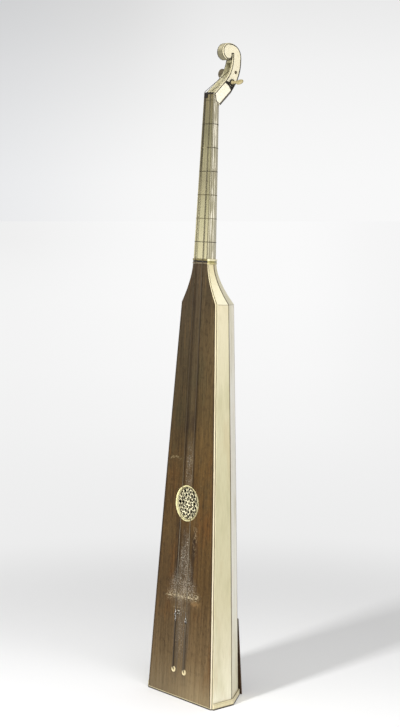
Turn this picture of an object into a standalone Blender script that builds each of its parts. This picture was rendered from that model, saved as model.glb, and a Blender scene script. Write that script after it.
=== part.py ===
"""Tromba marina: a tall tapering sound box, a long neck, a scroll head, two pegs and two strings.

Lengths are in metres. Most pieces are drawn in the board's frame: u across the soundboard, v back
from its face and w up along it. The frame leans back, so that the box stands on its sawn-off foot.
"""
import math

import bmesh
import bpy
from mathutils import Matrix, Vector

# Fit of touching pieces
GAP = 0.0003                    # between two pieces that touch
HALF_GAP = GAP / 2
SHAFT_PLAY = 0.0003             # between a shaft and its hole

# Stance and sound box
LEAN = math.radians(3.71)       # the board leans back from upright by this
FOOT_HALF = 0.1453              # half the board's width at the foot
SHOULDER_HALF = 0.0757          # half the board's width at the shoulder
BODY_LENGTH = 1.1594            # up the board from the floor to the shoulder
BODY_BOW = 0.0028               # how far the long sides swell at mid height
EDGE = 0.0058                   # each leg of the edging's bevel
SIDE_FOOT = 0.0752              # side rib's breadth at the foot
SIDE_SHOULDER = 0.0437          # and at the shoulder
SIDE_TAPER = 0.0461             # how much a side rib leans in over its breadth
DIAGONAL_FOOT = 0.0966          # diagonal rib's breadth at the foot
DIAGONAL_SHOULDER = 0.0773      # and at the shoulder
DIAGONAL_ANGLE = math.radians(39.3)
BOARD = 0.0040                  # soundboard's thickness
RIB = 0.0040                    # thickness of the ribs and the back
BODY_STEPS = 6                  # sections up each long rib
NOTCH = 0.0006                  # least step of the inner work round the edging

# Shoulder, from the box in to the neck
SHOULDER_LENGTH = 0.1131
SHOULDER_CURVE = 1.6            # power of the hollow curve
SHOULDER_STEPS = 8
JOINT_HALF = 0.0326
JOINT_EDGE = 0.0038
JOINT_SIDE = 0.0195
JOINT_DIAGONAL = 0.0330

# Foot
SOLE = 0.0026                   # ebony sole's thickness
SOLE_RAIL = 0.0150              # sole's breadth inwards
FOOT_STRIP = 0.0024             # height of the ivory strip under the board
BAND_HEIGHT = 0.0160            # plinth band's height
BAND = 0.0035                   # plinth band's thickness
FRAME_HEIGHT = 0.0180
FRAME_RAIL = 0.0160             # bottom frame's breadth inwards

# Inner work
LINING_WIDTH = 0.0100
LINING_DEPTH = 0.0120
BAR_LOWER_W = 0.400             # middle of each cross bar, up the board
BAR_UPPER_W = 0.800
BAR_HEIGHT = 0.0140
BAR_DEPTH = 0.0160
BLOCK_HEIGHT = 0.0850           # neck block, down from the shoulder's top

# Rosette
ROSETTE_U = -0.0045
ROSETTE_W = 0.5758
ROSETTE_RADIUS = 0.0521
ROSETTE_RIM = 0.0042
ROSETTE_PROUD = 0.0008
ROSETTE_SINK = 0.0060           # depth of the tracery's face below the board's
TRACERY = 0.0012                # tracery's thickness
TRACERY_HOLE = 0.0044           # half the breadth of a middling piercing
HOLE_SIDES = 10

# Neck
NECK_LENGTH = 0.4748            # from the collar to the neck's top
NECK_FOOT_HALF = 0.0312
NECK_FOOT_EDGE = 0.0024
NECK_FOOT_SIDE = 0.0200
NECK_FOOT_DIAGONAL = 0.0330
NECK_TOP_HALF = 0.0204
NECK_TOP_EDGE = 0.0016
NECK_TOP_SIDE = 0.0140
NECK_TOP_DIAGONAL = 0.0210
FACING = 0.0020                 # thickness of the neck's ivory facings
COLLAR_LOWER = 0.0038           # heights of the three rings at the neck's foot
COLLAR_BAND = 0.0052
COLLAR_UPPER = 0.0048
COLLAR_PROUD = 0.0013
BAND_PROUD = 0.0003
MARK_COUNT = 6
MARK_LOW = 0.0482               # from the collar up to the lowest position mark
MARK_HIGH = 0.0896              # from the highest mark up to the neck's top
MARK_HEIGHT = 0.0014
MARK_PROUD = 0.0003

# Nut
NUT_DEPTH = 0.0024              # how far it stands off the neck
NUT_INSET = 0.0040              # its left end, in from the neck's side
NUT_HEIGHT = 0.0052
NUT_BLOCK_HEIGHT = 0.0158
NUT_BLOCK_WIDTH = 0.0135

# Head, drawn from the side: a straight stem at an angle, a bend upright and a scroll
STEM_ANGLE = math.radians(45.0)
STEM_HALF_FOOT = 0.0193         # half the stem's depth from front to back, at its foot
STEM_HALF_TOP = 0.0165          # and at the bend's end
STEM_FOOT_V = 0.0162            # middle of the stem's lower end
STEM_DROP = 0.0165              # from the neck's top down to it
STEM_STRAIGHT = 0.0504
STEM_BEND = 0.1200              # radius of the stem's middle line
HEEL_TIP = 0.0069               # how far the heel's tip drops below the stem's lower end
HEEL_FRONT = 0.0108             # and how far its front corner drops
SCROLL_RADIUS = 0.0245
SCROLL_FORWARD = 0.0294         # from the stem's middle line forward to the scroll's centre
SCROLL_RISE = 0.0179            # from the bend's end up to the scroll's centre
SCROLL_EYE = 0.0127             # radius at the scroll's inner end
SCROLL_TIP = math.radians(-33.0)
SCROLL_CURL = math.radians(52.0)
SCROLL_POWER = 2.3              # fullness of the curve over the scroll's back
HEAD_HALF_FOOT = 0.0235         # half the head's width at the stem's foot
HEAD_HALF_TOP = 0.0136          # and at the scroll's top
CHEEK = 0.0036                  # ivory cheek's thickness
CHEEK_BEVEL = 0.0022            # bevel round the cheek's edge
CHEEK_BORDER = 0.0010           # depth of the ebony border let into the cheek
BORDER_FRONT = 0.0014           # border's width along the front edges
BORDER_BACK = 0.0024            # and over the scroll and down the back
HEEL_BEVEL = 0.0004
CHEEK_LINE = 0.0013             # ebony sheet's thickness behind the cheek
TROUGH_DEPTH = 0.0280
TROUGH_WALL = 0.0020
TROUGH_START = 0.0060           # up the stem's front edge
TROUGH_END = math.radians(7.0)  # short of the bend's end

# Pegs
PEG_LOWER_BACK = 0.0009         # behind the stem's middle line
PEG_LOWER_ALONG = math.radians(-35.6)
PEG_UPPER_BACK = 0.0009
PEG_UPPER_ALONG = math.radians(-19.3)
PEG_SHAFT = 0.0044
PEG_PLAY = 0.0005               # between a peg's shaft and its holes
PEG_TAIL = 0.0010               # how far a peg's tail stands out of the cheek
PEG_SIDES = 18
UPPER_HEAD_OUT = 0.0262         # from the cheek to the middle of the peg's head
UPPER_HEAD = (0.0140, 0.0140, 0.0046)
UPPER_TURN = math.radians(84.0)
UPPER_NECK = 0.0029
LOWER_HEAD_OUT = 0.0365
LOWER_HEAD = (0.0130, 0.0098, 0.0050)
LOWER_TURN = math.radians(48.0)
LOWER_NECK = 0.0040
PEG_COLLAR = 0.0062

# Ratchet on the right cheek
HUB = 0.0055                    # radius of the lower peg's hub
HUB_LENGTH = 0.0052
WHEEL_ROOT = 0.0085
WHEEL_TIP = 0.0098
WHEEL_TEETH = 14
WHEEL = 0.0026                  # thickness
PLATE = 0.0012
PAWL = 0.0022
PAWL_PIN_V = -0.0150            # pin's place from the peg's axis
PAWL_PIN_W = -0.0012
PAWL_PIN = 0.0012
PAWL_NOSE = math.radians(207.0)

# Strings
STRING = 0.0008                 # radius
STRING_SIDES = 2                # bevel resolution
LEFT_AT_NUT = -0.0135
RIGHT_AT_NUT = 0.0120
LEFT_AT_EYELET = -0.0285
RIGHT_AT_EYELET = 0.0202
EYELET_W = 0.0815
LEFT_KNOT_W = 0.2480
RIGHT_KNOT_W = 0.2340
LEFT_AT_PEG = -0.0050
RIGHT_AT_PEG = 0.0050
KNOT_RADIUS = 0.0024            # of the turns' middle line
KNOT_TURNS = 3
KNOT_PITCH = 0.0022
NUT_BREAK = 0.0015              # a string bends this far above the nut
TAIL_SPREAD = 0.00125           # half the distance between the two legs of the tail
TAIL_RISE = 0.0016              # legs pass through the eyelet's bore this far above its middle
TAIL_CLEAR = 0.0004             # legs lie this much further out over the eyelet's flange
WIND_TURNS = 5
WIND_PITCH = 0.0021
WIND_LIFT = 0.0006              # clear of the peg's shaft
STRING_CLEAR = 0.0004           # a string's end lies this far outside its winding

# Eyelets
EYELET_FLANGE = 0.0085
EYELET_BARREL = 0.0052
EYELET_BORE = 0.0032
EYELET_THICK = 0.0022

# Back window, flap and its hinge
WINDOW_LOW = 0.0400
WINDOW_HIGH = 0.1900
WINDOW_HALF = 0.0500
FLAP_TOP = 0.2300               # hinge axis, above the floor
FLAP_CLEAR = 0.0015             # flap's foot above the floor
FLAP = 0.0040
FLAP_MARGIN = 0.0005            # narrower than the back by this on each side
FLAP_OPEN = math.radians(2.8)
LEAF = 0.0012
LEAF_LENGTH = 0.0600
LEAF_HEIGHT = 0.0180
BARREL = 0.0028
BARREL_BORE = 0.0012
HINGE_PIN = 0.0009
BARREL_SIDES = 12

SIN = math.sin(LEAN)
COS = math.cos(LEAN)

# Levels up the board
SHOULDER_W = BODY_LENGTH
JOINT_W = SHOULDER_W + SHOULDER_LENGTH
COLLAR_BOTTOM_W = JOINT_W + GAP
NECK_FOOT_W = COLLAR_BOTTOM_W + COLLAR_LOWER + COLLAR_BAND + COLLAR_UPPER + 3 * GAP
NECK_TOP_W = NECK_FOOT_W + NECK_LENGTH
STEM_FOOT_W = NECK_TOP_W - STEM_DROP


def srgb(red, green, blue):
    """Linear colour of an 8-bit screen colour."""
    out = []
    for value in (red, green, blue):
        value = value / 255
        out.append(value / 12.92 if value <= 0.04045 else ((value + 0.055) / 1.055) ** 2.4)
    return tuple(out) + (1.0,)


IVORY = (srgb(226, 217, 184), 0.42, 0.0)
IVORY_WARM = (srgb(214, 203, 160), 0.45, 0.0)
BOARD_WOOD = (srgb(98, 78, 50), 0.62, 0.0)
INNER_WOOD = (srgb(176, 140, 96), 0.70, 0.0)
FLAP_WOOD = (srgb(70, 50, 32), 0.60, 0.0)
EBONY = (srgb(38, 32, 28), 0.40, 0.0)
PEG_WOOD = (srgb(92, 82, 62), 0.45, 0.0)
IRON = (srgb(44, 42, 40), 0.50, 0.85)
GUT = (srgb(120, 112, 96), 0.40, 0.0)


def material(name, look):
    """Return a new Principled material with a colour, a roughness and a metallic value."""
    colour, roughness, metallic = look
    made = bpy.data.materials.new(name)
    made.use_nodes = True
    shader = made.node_tree.nodes["Principled BSDF"]
    shader.inputs["Base Color"].default_value = colour
    shader.inputs["Roughness"].default_value = roughness
    shader.inputs["Metallic"].default_value = metallic
    made.diffuse_color = colour
    return made


def finish(name, bm, look, smooth=False):
    """Turn a bmesh into a named object with its own material."""
    bmesh.ops.recalc_face_normals(bm, faces=bm.faces)
    mesh = bpy.data.meshes.new(name)
    bm.to_mesh(mesh)
    bm.free()
    made = bpy.data.objects.new(name, mesh)
    bpy.context.scene.collection.objects.link(made)
    if look:
        mesh.materials.append(material(name, look))
    if smooth:
        mesh.shade_smooth()
        mesh.set_sharp_from_angle(angle=math.radians(35))
    return made


def loft(name, rings, look, smooth=False):
    """Solid through closed rings of points, with its two ends filled."""
    bm = bmesh.new()
    rows = [[bm.verts.new(point) for point in ring] for ring in rings]
    count = len(rows[0])
    for low, high in zip(rows, rows[1:]):
        for i in range(count):
            j = (i + 1) % count
            bm.faces.new((low[i], low[j], high[j], high[i]))
    bm.faces.new(rows[0])
    bm.faces.new(rows[-1])
    return finish(name, bm, look, smooth)


def tube_loft(name, outer, inner, look, smooth=False):
    """Solid between outer and inner rings, open through its middle."""
    bm = bmesh.new()
    out_rows = [[bm.verts.new(point) for point in ring] for ring in outer]
    in_rows = [[bm.verts.new(point) for point in ring] for ring in inner]
    count = len(out_rows[0])
    for i in range(count):
        j = (i + 1) % count
        for rows in (out_rows, in_rows):
            for low, high in zip(rows, rows[1:]):
                bm.faces.new((low[i], low[j], high[j], high[i]))
        for end in (0, -1):
            bm.faces.new((out_rows[end][i], out_rows[end][j], in_rows[end][j], in_rows[end][i]))
    return finish(name, bm, look, smooth)


def combine(target, tool, operation):
    """Cut the tool from the target, or join it on, and drop the tool."""
    modifier = target.modifiers.new("combine", "BOOLEAN")
    modifier.operation = operation
    modifier.solver = "EXACT"
    modifier.object = tool
    tool.hide_render = True
    tool.display_type = "WIRE"
    bpy.context.view_layer.update()
    evaluated = target.evaluated_get(bpy.context.evaluated_depsgraph_get())
    mesh = bpy.data.meshes.new_from_object(evaluated)
    target.modifiers.clear()
    old = target.data
    target.data = mesh
    bpy.data.meshes.remove(old)
    mesh.name = target.name
    tool_mesh = tool.data
    bpy.data.objects.remove(tool)
    bpy.data.meshes.remove(tool_mesh)
    return target


def set_origin(made, point):
    """Move an object's origin to a point and leave its mesh where it is."""
    point = Vector(point)
    made.data.transform(Matrix.Translation(-point))
    made.location = made.location + point
    return made


def mix(a, b, t):
    """Point or number at fraction t of the way from a to b."""
    if isinstance(a, tuple):
        return tuple(p + (q - p) * t for p, q in zip(a, b))
    return a + (b - a) * t


def offset_polygon(points, distances, limit=4.0):
    """Closed polygon moved in by a distance, or by one distance for each edge."""
    count = len(points)
    if not isinstance(distances, (list, tuple)):
        distances = [distances] * count
    area = 0.0
    for (x0, y0), (x1, y1) in zip(points[-1:] + points[:-1], points):
        area += x0 * y1 - x1 * y0
    turn = 1.0 if area > 0 else -1.0
    normals = []
    for i in range(count):
        x0, y0 = points[i]
        x1, y1 = points[(i + 1) % count]
        length = math.hypot(x1 - x0, y1 - y0)
        normals.append((-(y1 - y0) / length * turn, (x1 - x0) / length * turn))
    moved = []
    for i in range(count):
        n0 = normals[i - 1]
        n1 = normals[i]
        d0 = distances[i - 1]
        d1 = distances[i]
        cross = n0[0] * n1[1] - n0[1] * n1[0]
        if abs(cross) < 1e-3:
            shift = (n0[0] * d0, n0[1] * d0)
        else:
            shift = ((d0 * n1[1] - d1 * n0[1]) / cross, (d1 * n0[0] - d0 * n1[0]) / cross)
        size = math.hypot(*shift)
        longest = limit * max(abs(d0), abs(d1))
        if size > longest:
            shift = (shift[0] * longest / size, shift[1] * longest / size)
        moved.append((points[i][0] + shift[0], points[i][1] + shift[1]))
    return moved


def mirrored(points):
    """Full ring of a section from its right-hand corners, front to back."""
    return list(points) + [(-u, v) for u, v in reversed(points)]


def corners(half, edge, side, diagonal):
    """Right-hand corners of a section: board edge, bevel, side to diagonal, diagonal to back."""
    a = (half, 0.0)
    b = (half + edge, edge)
    c = (b[0] - side * SIDE_TAPER, b[1] + side)
    d = (c[0] - diagonal * math.sin(DIAGONAL_ANGLE), c[1] + diagonal * math.cos(DIAGONAL_ANGLE))
    return [a, b, c, d]


FOOT = corners(FOOT_HALF, EDGE, SIDE_FOOT, DIAGONAL_FOOT)
SHOULDER = corners(SHOULDER_HALF, EDGE, SIDE_SHOULDER, DIAGONAL_SHOULDER)
JOINT = corners(JOINT_HALF, JOINT_EDGE, JOINT_SIDE, JOINT_DIAGONAL)
NECK_FOOT = corners(NECK_FOOT_HALF, NECK_FOOT_EDGE, NECK_FOOT_SIDE, NECK_FOOT_DIAGONAL)
NECK_TOP = corners(NECK_TOP_HALF, NECK_TOP_EDGE, NECK_TOP_SIDE, NECK_TOP_DIAGONAL)


def floor_w(v, height=0.0):
    """Distance up the board of a point at depth v and at a height above the floor."""
    return (height + v * SIN) / COS


def body_point(foot, top, t):
    """Point on a wall line at fraction t of its height, from its foot to the shoulder."""
    u, v = mix(foot, top, t)
    u += BODY_BOW * 4 * t * (1 - t) * u / FOOT_HALF
    return Vector((u, v, mix(floor_w(foot[1]), SHOULDER_W, t)))


def body_fraction(top, height):
    """Fraction t at which a wall line has a height above the floor."""
    return height / (SHOULDER_W * COS - top[1] * SIN)


def shoulder_point(top, joint, s):
    """Point on a wall line at fraction s of the way from the shoulder to the neck."""
    u, v = mix(joint, top, (1 - s) ** SHOULDER_CURVE)
    return Vector((u, v, mix(SHOULDER_W, JOINT_W, s)))


BODY_END = 1.0 - HALF_GAP / BODY_LENGTH     # fraction at which a rib stops under the shoulder
SHOULDER_START = GAP / SHOULDER_LENGTH      # and at which the shoulder starts above it
RIB_INSET = HALF_GAP * 1.3                  # each rib stops this far short of an arris


def body_rings(foot, top, low, steps=BODY_STEPS, high=BODY_END):
    """Rings of a wall section from a height above the floor up to the shoulder."""
    rings = []
    for i in range(steps + 1):
        ring = []
        for f, s in zip(foot, top):
            ring.append(body_point(f, s, mix(body_fraction(s, low), high, i / steps)))
        rings.append(ring)
    return rings


def shoulder_rings(top, joint, steps=SHOULDER_STEPS, start=SHOULDER_START / 2):
    """Rings of a wall section from the shoulder up to the neck."""
    return [[shoulder_point(f, s, max(start, i / steps)) for f, s in zip(top, joint)]
            for i in range(steps + 1)]


def wall(section, name):
    """Four corners of a rib's section: two on its outer face and two on its inner face."""
    a, b, c, d = section
    ring = mirrored(section)
    inner = offset_polygon(ring, RIB)
    along = {"side": (1, 2), "diagonal": (2, 3), "back": (3, 4)}[name]
    i, j = along
    outer_i = Vector(ring[i])
    outer_j = Vector(ring[j])
    step = (outer_j - outer_i).normalized() * RIB_INSET
    inner_i = Vector(inner[i])
    inner_j = Vector(inner[j])
    if name == "side":
        start = max(b[1], BOARD + HALF_GAP) + HALF_GAP
        outer_i = outer_i + (outer_j - outer_i) * ((start - outer_i.y) / (outer_j.y - outer_i.y))
        inner_i = inner_i + (inner_j - inner_i) * ((start - inner_i.y) / (inner_j.y - inner_i.y))
        return [tuple(outer_i), tuple(outer_j - step), tuple(inner_j - step), tuple(inner_i)]
    return [tuple(outer_i + step), tuple(outer_j - step), tuple(inner_j - step), tuple(inner_i + step)]


def flip(points):
    """The same points on the left-hand side."""
    return [(-u, v) for u, v in points]


def edging_section(section):
    """Triangle of the edging strip."""
    half = section[0][0]
    edge = section[1][1]
    g = HALF_GAP
    return [(half + g, g), (half + edge - g, edge - g), (half + g, edge - g)]


def inner_ring(section, extra=0.0):
    """Ring inside the board, the edging and the ribs, with the usual gap and an extra one."""
    half, edge = section[0][0], section[1][1]
    room = GAP + extra
    inner = offset_polygon(mirrored(section), RIB + room)
    level = max(edge + room, BOARD + room + NOTCH)
    slope = (inner[2][0] - inner[1][0]) / (inner[2][1] - inner[1][1])
    side = inner[1][0] + (level - inner[1][1]) * slope
    step = min(half - room, side - NOTCH)
    return mirrored([(step, BOARD + room), (step, level), (side, level), inner[2], inner[3]])


def shrink(points, rail):
    """Ring drawn in by a rail's breadth on every side."""
    us = [p[0] for p in points]
    vs = [p[1] for p in points]
    cu = (min(us) + max(us)) / 2
    cv = (min(vs) + max(vs)) / 2
    fu = 1 - 2 * rail / (max(us) - min(us))
    fv = 1 - 2 * rail / (max(vs) - min(vs))
    return [(cu + (u - cu) * fu, cv + (v - cv) * fv) for u, v in points]


def cylinder(name, centre, axis, radius, length, sides, look=None):
    """Round rod about an axis through its centre."""
    axis = Vector(axis).normalized()
    side = axis.orthogonal().normalized()
    other = axis.cross(side)
    rings = []
    for end in (-0.5, 0.5):
        middle = Vector(centre) + axis * (length * end)
        rings.append([middle + (side * math.cos(a) + other * math.sin(a)) * radius
                      for a in [2 * math.pi * i / sides for i in range(sides)]])
    return loft(name, rings, look, smooth=True)


def make_soundboard():
    """Flat board with its hollow shoulders, the rosette's hole and two eyelet holes."""
    low = SOLE + FOOT_STRIP + 2 * GAP
    right = []
    for ring in body_rings([FOOT[0]], [SHOULDER[0]], low, high=1.0):
        right.append((ring[0].x - HALF_GAP, ring[0].z))
    for ring in shoulder_rings([SHOULDER[0]], [JOINT[0]], start=0.0)[1:]:
        right.append((ring[0].x - HALF_GAP, ring[0].z))
    outline = right + [(-u, w) for u, w in reversed(right)]
    rings = [[Vector((u, v, w)) for u, w in outline] for v in (0.0, BOARD)]
    board = loft("soundboard", rings, BOARD_WOOD)
    along = (0, 1, 0)
    hole = cylinder("rosette_cutter", (ROSETTE_U, BOARD / 2, ROSETTE_W), along,
                    ROSETTE_RADIUS + GAP, 0.02, 48)
    combine(board, hole, "DIFFERENCE")
    for u in (LEFT_AT_EYELET, RIGHT_AT_EYELET):
        hole = cylinder("eyelet_cutter", (u, BOARD / 2, EYELET_W), along, EYELET_BARREL + GAP, 0.02, 16)
        combine(board, hole, "DIFFERENCE")
    return board


def make_foot_strip():
    """Ivory strip under the board."""
    rings = []
    for height in (SOLE + GAP, SOLE + FOOT_STRIP + GAP):
        half = body_point(FOOT[0], SHOULDER[0], body_fraction(SHOULDER[0], height)).x - HALF_GAP
        section = [(half, 0.0), (half, BOARD), (-half, BOARD), (-half, 0.0)]
        rings.append([Vector((u, v, floor_w(v, height))) for u, v in section])
    return loft("foot_strip", rings, IVORY)


def make_edging(name, side):
    """Ivory corner strip from the foot to the collar."""
    foot, top, joint = (edging_section(s) for s in (FOOT, SHOULDER, JOINT))
    if side == "left":
        foot, top, joint = flip(foot), flip(top), flip(joint)
    rings = body_rings(foot, top, SOLE + GAP, high=1.0)
    rings += shoulder_rings(top, joint, start=0.0)[1:]
    return loft(name, rings, IVORY)


def make_rib(name, part, side):
    """Long flat rib or back from the foot to the shoulder."""
    foot = wall(FOOT, part)
    top = wall(SHOULDER, part)
    if side == "left":
        foot, top = flip(foot), flip(top)
    return loft(name, body_rings(foot, top, SOLE + GAP), IVORY)


def make_shoulder(name, part, side):
    """Hollow rib from the shoulder in to the neck."""
    top = wall(SHOULDER, part)
    joint = wall(JOINT, part)
    if side == "left":
        top, joint = flip(top), flip(joint)
    return loft(name, shoulder_rings(top, joint), IVORY)


def make_back_board():
    """Back, with a window behind the flap."""
    back = make_rib("back_board", "back", "right")
    middle = (WINDOW_LOW + WINDOW_HIGH) / 2
    depth = mix(FOOT[3][1], SHOULDER[3][1], body_fraction(SHOULDER[3], middle))
    size = (WINDOW_HALF, 0.03, (WINDOW_HIGH - WINDOW_LOW) / 2)
    w = floor_w(depth, middle)
    rings = []
    for dw in (-size[2], size[2]):
        rings.append([Vector((du * size[0], depth + dv * size[1], w + dw))
                      for du, dv in ((1, -1), (1, 1), (-1, 1), (-1, -1))])
    return combine(back, loft("window_cutter", rings, None), "DIFFERENCE")


def make_base_band():
    """Plinth band round the sides and the back."""
    def path(section):
        ring = mirrored(section)
        outer = offset_polygon(ring, -BAND - GAP)
        inner = offset_polygon(ring, -GAP)
        start_in = Vector(section[1]) + Vector((HALF_GAP, HALF_GAP))
        start_out = start_in + Vector((1.0, SIDE_TAPER)).normalized() * BAND
        right_out = [tuple(start_out), outer[2], outer[3]]
        right_in = [tuple(start_in), inner[2], inner[3]]
        loop = right_out + flip(reversed(right_out))
        return loop + flip(right_in) + list(reversed(right_in))
    foot = path(FOOT)
    top = path(SHOULDER)
    rings = []
    for height in (SOLE + GAP, SOLE + BAND_HEIGHT):
        rings.append([body_point(f, s, body_fraction(s, height)) for f, s in zip(foot, top)])
    return loft("base_band", rings, IVORY)


def sole_outline():
    """Outer ring of the sole: flush at the front, out to the band elsewhere."""
    ring = mirrored(FOOT)
    outer = offset_polygon(ring, -BAND - GAP)
    proud = (FOOT[1][0] + BAND, FOOT[1][1] + BAND * SIDE_TAPER)
    right = [FOOT[0], FOOT[1], proud, outer[2], outer[3]]
    return mirrored(right)


def make_sole():
    """Thin ebony ring that stands on the floor."""
    outline = sole_outline()
    inner = shrink(outline, SOLE_RAIL)
    outer_rings = []
    inner_rings = []
    for height in (0.0, SOLE):
        outer_rings.append([Vector((u, v, floor_w(v, height))) for u, v in outline])
        inner_rings.append([Vector((u, v, floor_w(v, height))) for u, v in inner])
    return tube_loft("base_sole", outer_rings, inner_rings, EBONY)


def make_bottom_frame():
    """Wooden frame that the ribs and the board stand round, open in its middle."""
    foot = inner_ring(FOOT)
    top = inner_ring(SHOULDER)
    outer = []
    inner = []
    for height in (SOLE + GAP, SOLE + FRAME_HEIGHT):
        ring = [body_point(f, s, body_fraction(s, height)) for f, s in zip(foot, top)]
        outer.append(ring)
        flat = shrink([(p.x, p.y) for p in ring], FRAME_RAIL)
        inner.append([Vector((u, v, floor_w(v, height))) for u, v in flat])
    return tube_loft("bottom_frame", outer, inner, INNER_WOOD)


def lining_section(section):
    """Corner strip behind the board and beside the side rib."""
    a, b, c, d = inner_ring(section)[:4]
    depth = BOARD + GAP + LINING_DEPTH
    on_side = mix(c, d, (depth - c[1]) / (d[1] - c[1]))
    return [a, b, c, on_side, (a[0] - LINING_WIDTH, depth), (a[0] - LINING_WIDTH, a[1])]


def make_lining(name, side):
    """Glue strip inside the corner of board and side rib."""
    foot = lining_section(FOOT)
    top = lining_section(SHOULDER)
    if side == "left":
        foot, top = flip(foot), flip(top)
    low = SOLE + FRAME_HEIGHT + GAP
    return loft(name, body_rings(foot, top, low, high=0.985), INNER_WOOD)


def make_bar(name, w):
    """Cross bar behind the board, between the linings."""
    front = BOARD + GAP
    rings = []
    for end in (-0.5, 0.5):
        level = w + end * BAR_HEIGHT
        t = level / SHOULDER_W
        reach = min(body_point(lining_section(FOOT)[5], lining_section(SHOULDER)[5], t + d).x
                    for d in (-0.01, 0.0, 0.01))
        half = reach - GAP
        back = front + BAR_DEPTH
        section = ((half, front), (half, back), (-half, back), (-half, front))
        rings.append([Vector((u, v, level)) for u, v in section])
    return loft(name, rings, INNER_WOOD)


def make_neck_block():
    """Block inside the shoulder that carries the neck."""
    top = inner_ring(SHOULDER, GAP)
    joint = inner_ring(JOINT, GAP)
    start = 1.0 - BLOCK_HEIGHT / (JOINT_W - SHOULDER_W)
    rings = [[shoulder_point(f, s, mix(start, 1.0, i / 6)) for f, s in zip(top, joint)]
             for i in range(7)]
    return loft("neck_block", rings, INNER_WOOD)


def flat_ring(points, w):
    """Ring of a section at one distance up the board."""
    return [Vector((u, v, w)) for u, v in points]


def make_rosette_ring():
    """Ivory ring through the board."""
    outer = []
    inner = []
    depth = ROSETTE_SINK + TRACERY + GAP
    for v in (-ROSETTE_PROUD, depth):
        for radius, rings in ((ROSETTE_RADIUS, outer), (ROSETTE_RADIUS - ROSETTE_RIM, inner)):
            angles = [2 * math.pi * i / 48 for i in range(48)]
            rings.append([Vector((ROSETTE_U + radius * math.cos(a), v, ROSETTE_W + radius * math.sin(a)))
                          for a in angles])
    return tube_loft("rosette_ring", outer, inner, IVORY, smooth=True)


def piercing(radius, angle, size_across, size_out, sides=HOLE_SIDES, turn=0.0):
    """Outline of one hole in the tracery, at a radius and an angle from its middle."""
    out = Vector((math.cos(angle), math.sin(angle)))
    across = Vector((-out.y, out.x))
    points = []
    for i in range(sides):
        a = 2 * math.pi * i / sides + turn
        points.append(out * (radius + size_out * math.cos(a)) + across * (size_across * math.sin(a)))
    return points


def tracery_holes():
    """All the piercings: an eye, two rings of petals, six roundels parted by crossed straps, and a rim."""
    hole = TRACERY_HOLE
    reach = ROSETTE_RADIUS - ROSETTE_RIM
    holes = [piercing(0.0, 0.0, hole * 0.90, hole * 0.90, 8)]
    for i in range(6):
        angle = math.pi / 3 * i + math.pi / 6
        between = angle + math.pi / 6
        holes.append(piercing(reach * 0.245, between, hole * 0.95, hole * 0.95, 6))
        holes.append(piercing(reach * 0.345, angle, hole * 0.80, hole * 0.65, 6))
        holes.append(piercing(reach * 0.535, between, hole * 1.50, hole * 1.20, 6))
        holes.append(piercing(reach * 0.830, between, hole * 1.48, hole * 1.25, 6))
        for side in (-1, 1):
            holes.append(piercing(reach * 0.905, angle + side * 0.225, hole * 0.75, hole * 0.60, 6))
        centre = Vector((math.cos(angle), math.sin(angle))) * (reach * 0.690)
        for k in range(4):
            lobe = angle + math.pi / 2 * k
            shift = Vector((math.cos(lobe), math.sin(lobe))) * (hole * 1.60)
            ring = piercing(0.0, lobe, hole * 0.94, hole * 0.94)
            holes.append([p + centre + shift for p in ring])
    return holes


def make_tracery():
    """Pierced ivory disc."""
    radius = ROSETTE_RADIUS - ROSETTE_RIM - GAP
    curve = bpy.data.curves.new("rosette_tracery", "CURVE")
    curve.dimensions = "2D"
    curve.fill_mode = "BOTH"
    curve.extrude = TRACERY / 2
    rim = [Vector((math.cos(a), math.sin(a))) * radius
           for a in [2 * math.pi * i / 36 for i in range(36)]]
    for outline in [rim] + tracery_holes():
        spline = curve.splines.new("POLY")
        spline.points.add(len(outline) - 1)
        for point, place in zip(spline.points, outline):
            point.co = (place.x, place.y, 0.0, 1.0)
        spline.use_cyclic_u = True
    guide = bpy.data.objects.new("tracery_guide", curve)
    bpy.context.scene.collection.objects.link(guide)
    bpy.context.view_layer.update()
    evaluated = guide.evaluated_get(bpy.context.evaluated_depsgraph_get())
    mesh = bpy.data.meshes.new_from_object(evaluated)
    mesh.name = "rosette_tracery"
    bpy.data.objects.remove(guide)
    bm = bmesh.new()
    bm.from_mesh(mesh)
    bmesh.ops.remove_doubles(bm, verts=bm.verts, dist=1e-5)
    bmesh.ops.dissolve_degenerate(bm, dist=1e-6, edges=bm.edges)
    turn = Matrix.Rotation(math.pi / 2, 4, "X")
    bmesh.ops.transform(bm, matrix=turn, verts=bm.verts)
    shift = Vector((ROSETTE_U, ROSETTE_SINK + TRACERY / 2, ROSETTE_W))
    bmesh.ops.translate(bm, vec=shift, verts=bm.verts)
    bpy.data.meshes.remove(mesh)
    return finish("rosette_tracery", bm, IVORY)


def neck_section(w):
    """Right-hand corners of the neck at a distance up the board."""
    t = (w - NECK_FOOT_W) / (NECK_TOP_W - NECK_FOOT_W)
    return [mix(a, b, t) for a, b in zip(NECK_FOOT, NECK_TOP)]


def head_socket():
    """Cutter that leaves room in the neck for the head."""
    outline = offset_polygon(head_outline(), -GAP, 1.6)
    rings = [[Vector((u, v, w)) for v, w in outline] for u in (-0.06, 0.06)]
    return loft("head_cutter", rings, None)


def make_neck_core():
    """Wooden neck inside its facings."""
    rings = []
    bottom = COLLAR_BOTTOM_W
    for w in (bottom, NECK_TOP_W):
        ring = offset_polygon(mirrored(neck_section(w)), FACING + GAP)
        rings.append(flat_ring(ring, w))
    return combine(loft("neck_core", rings, INNER_WOOD), head_socket(), "DIFFERENCE")


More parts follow.
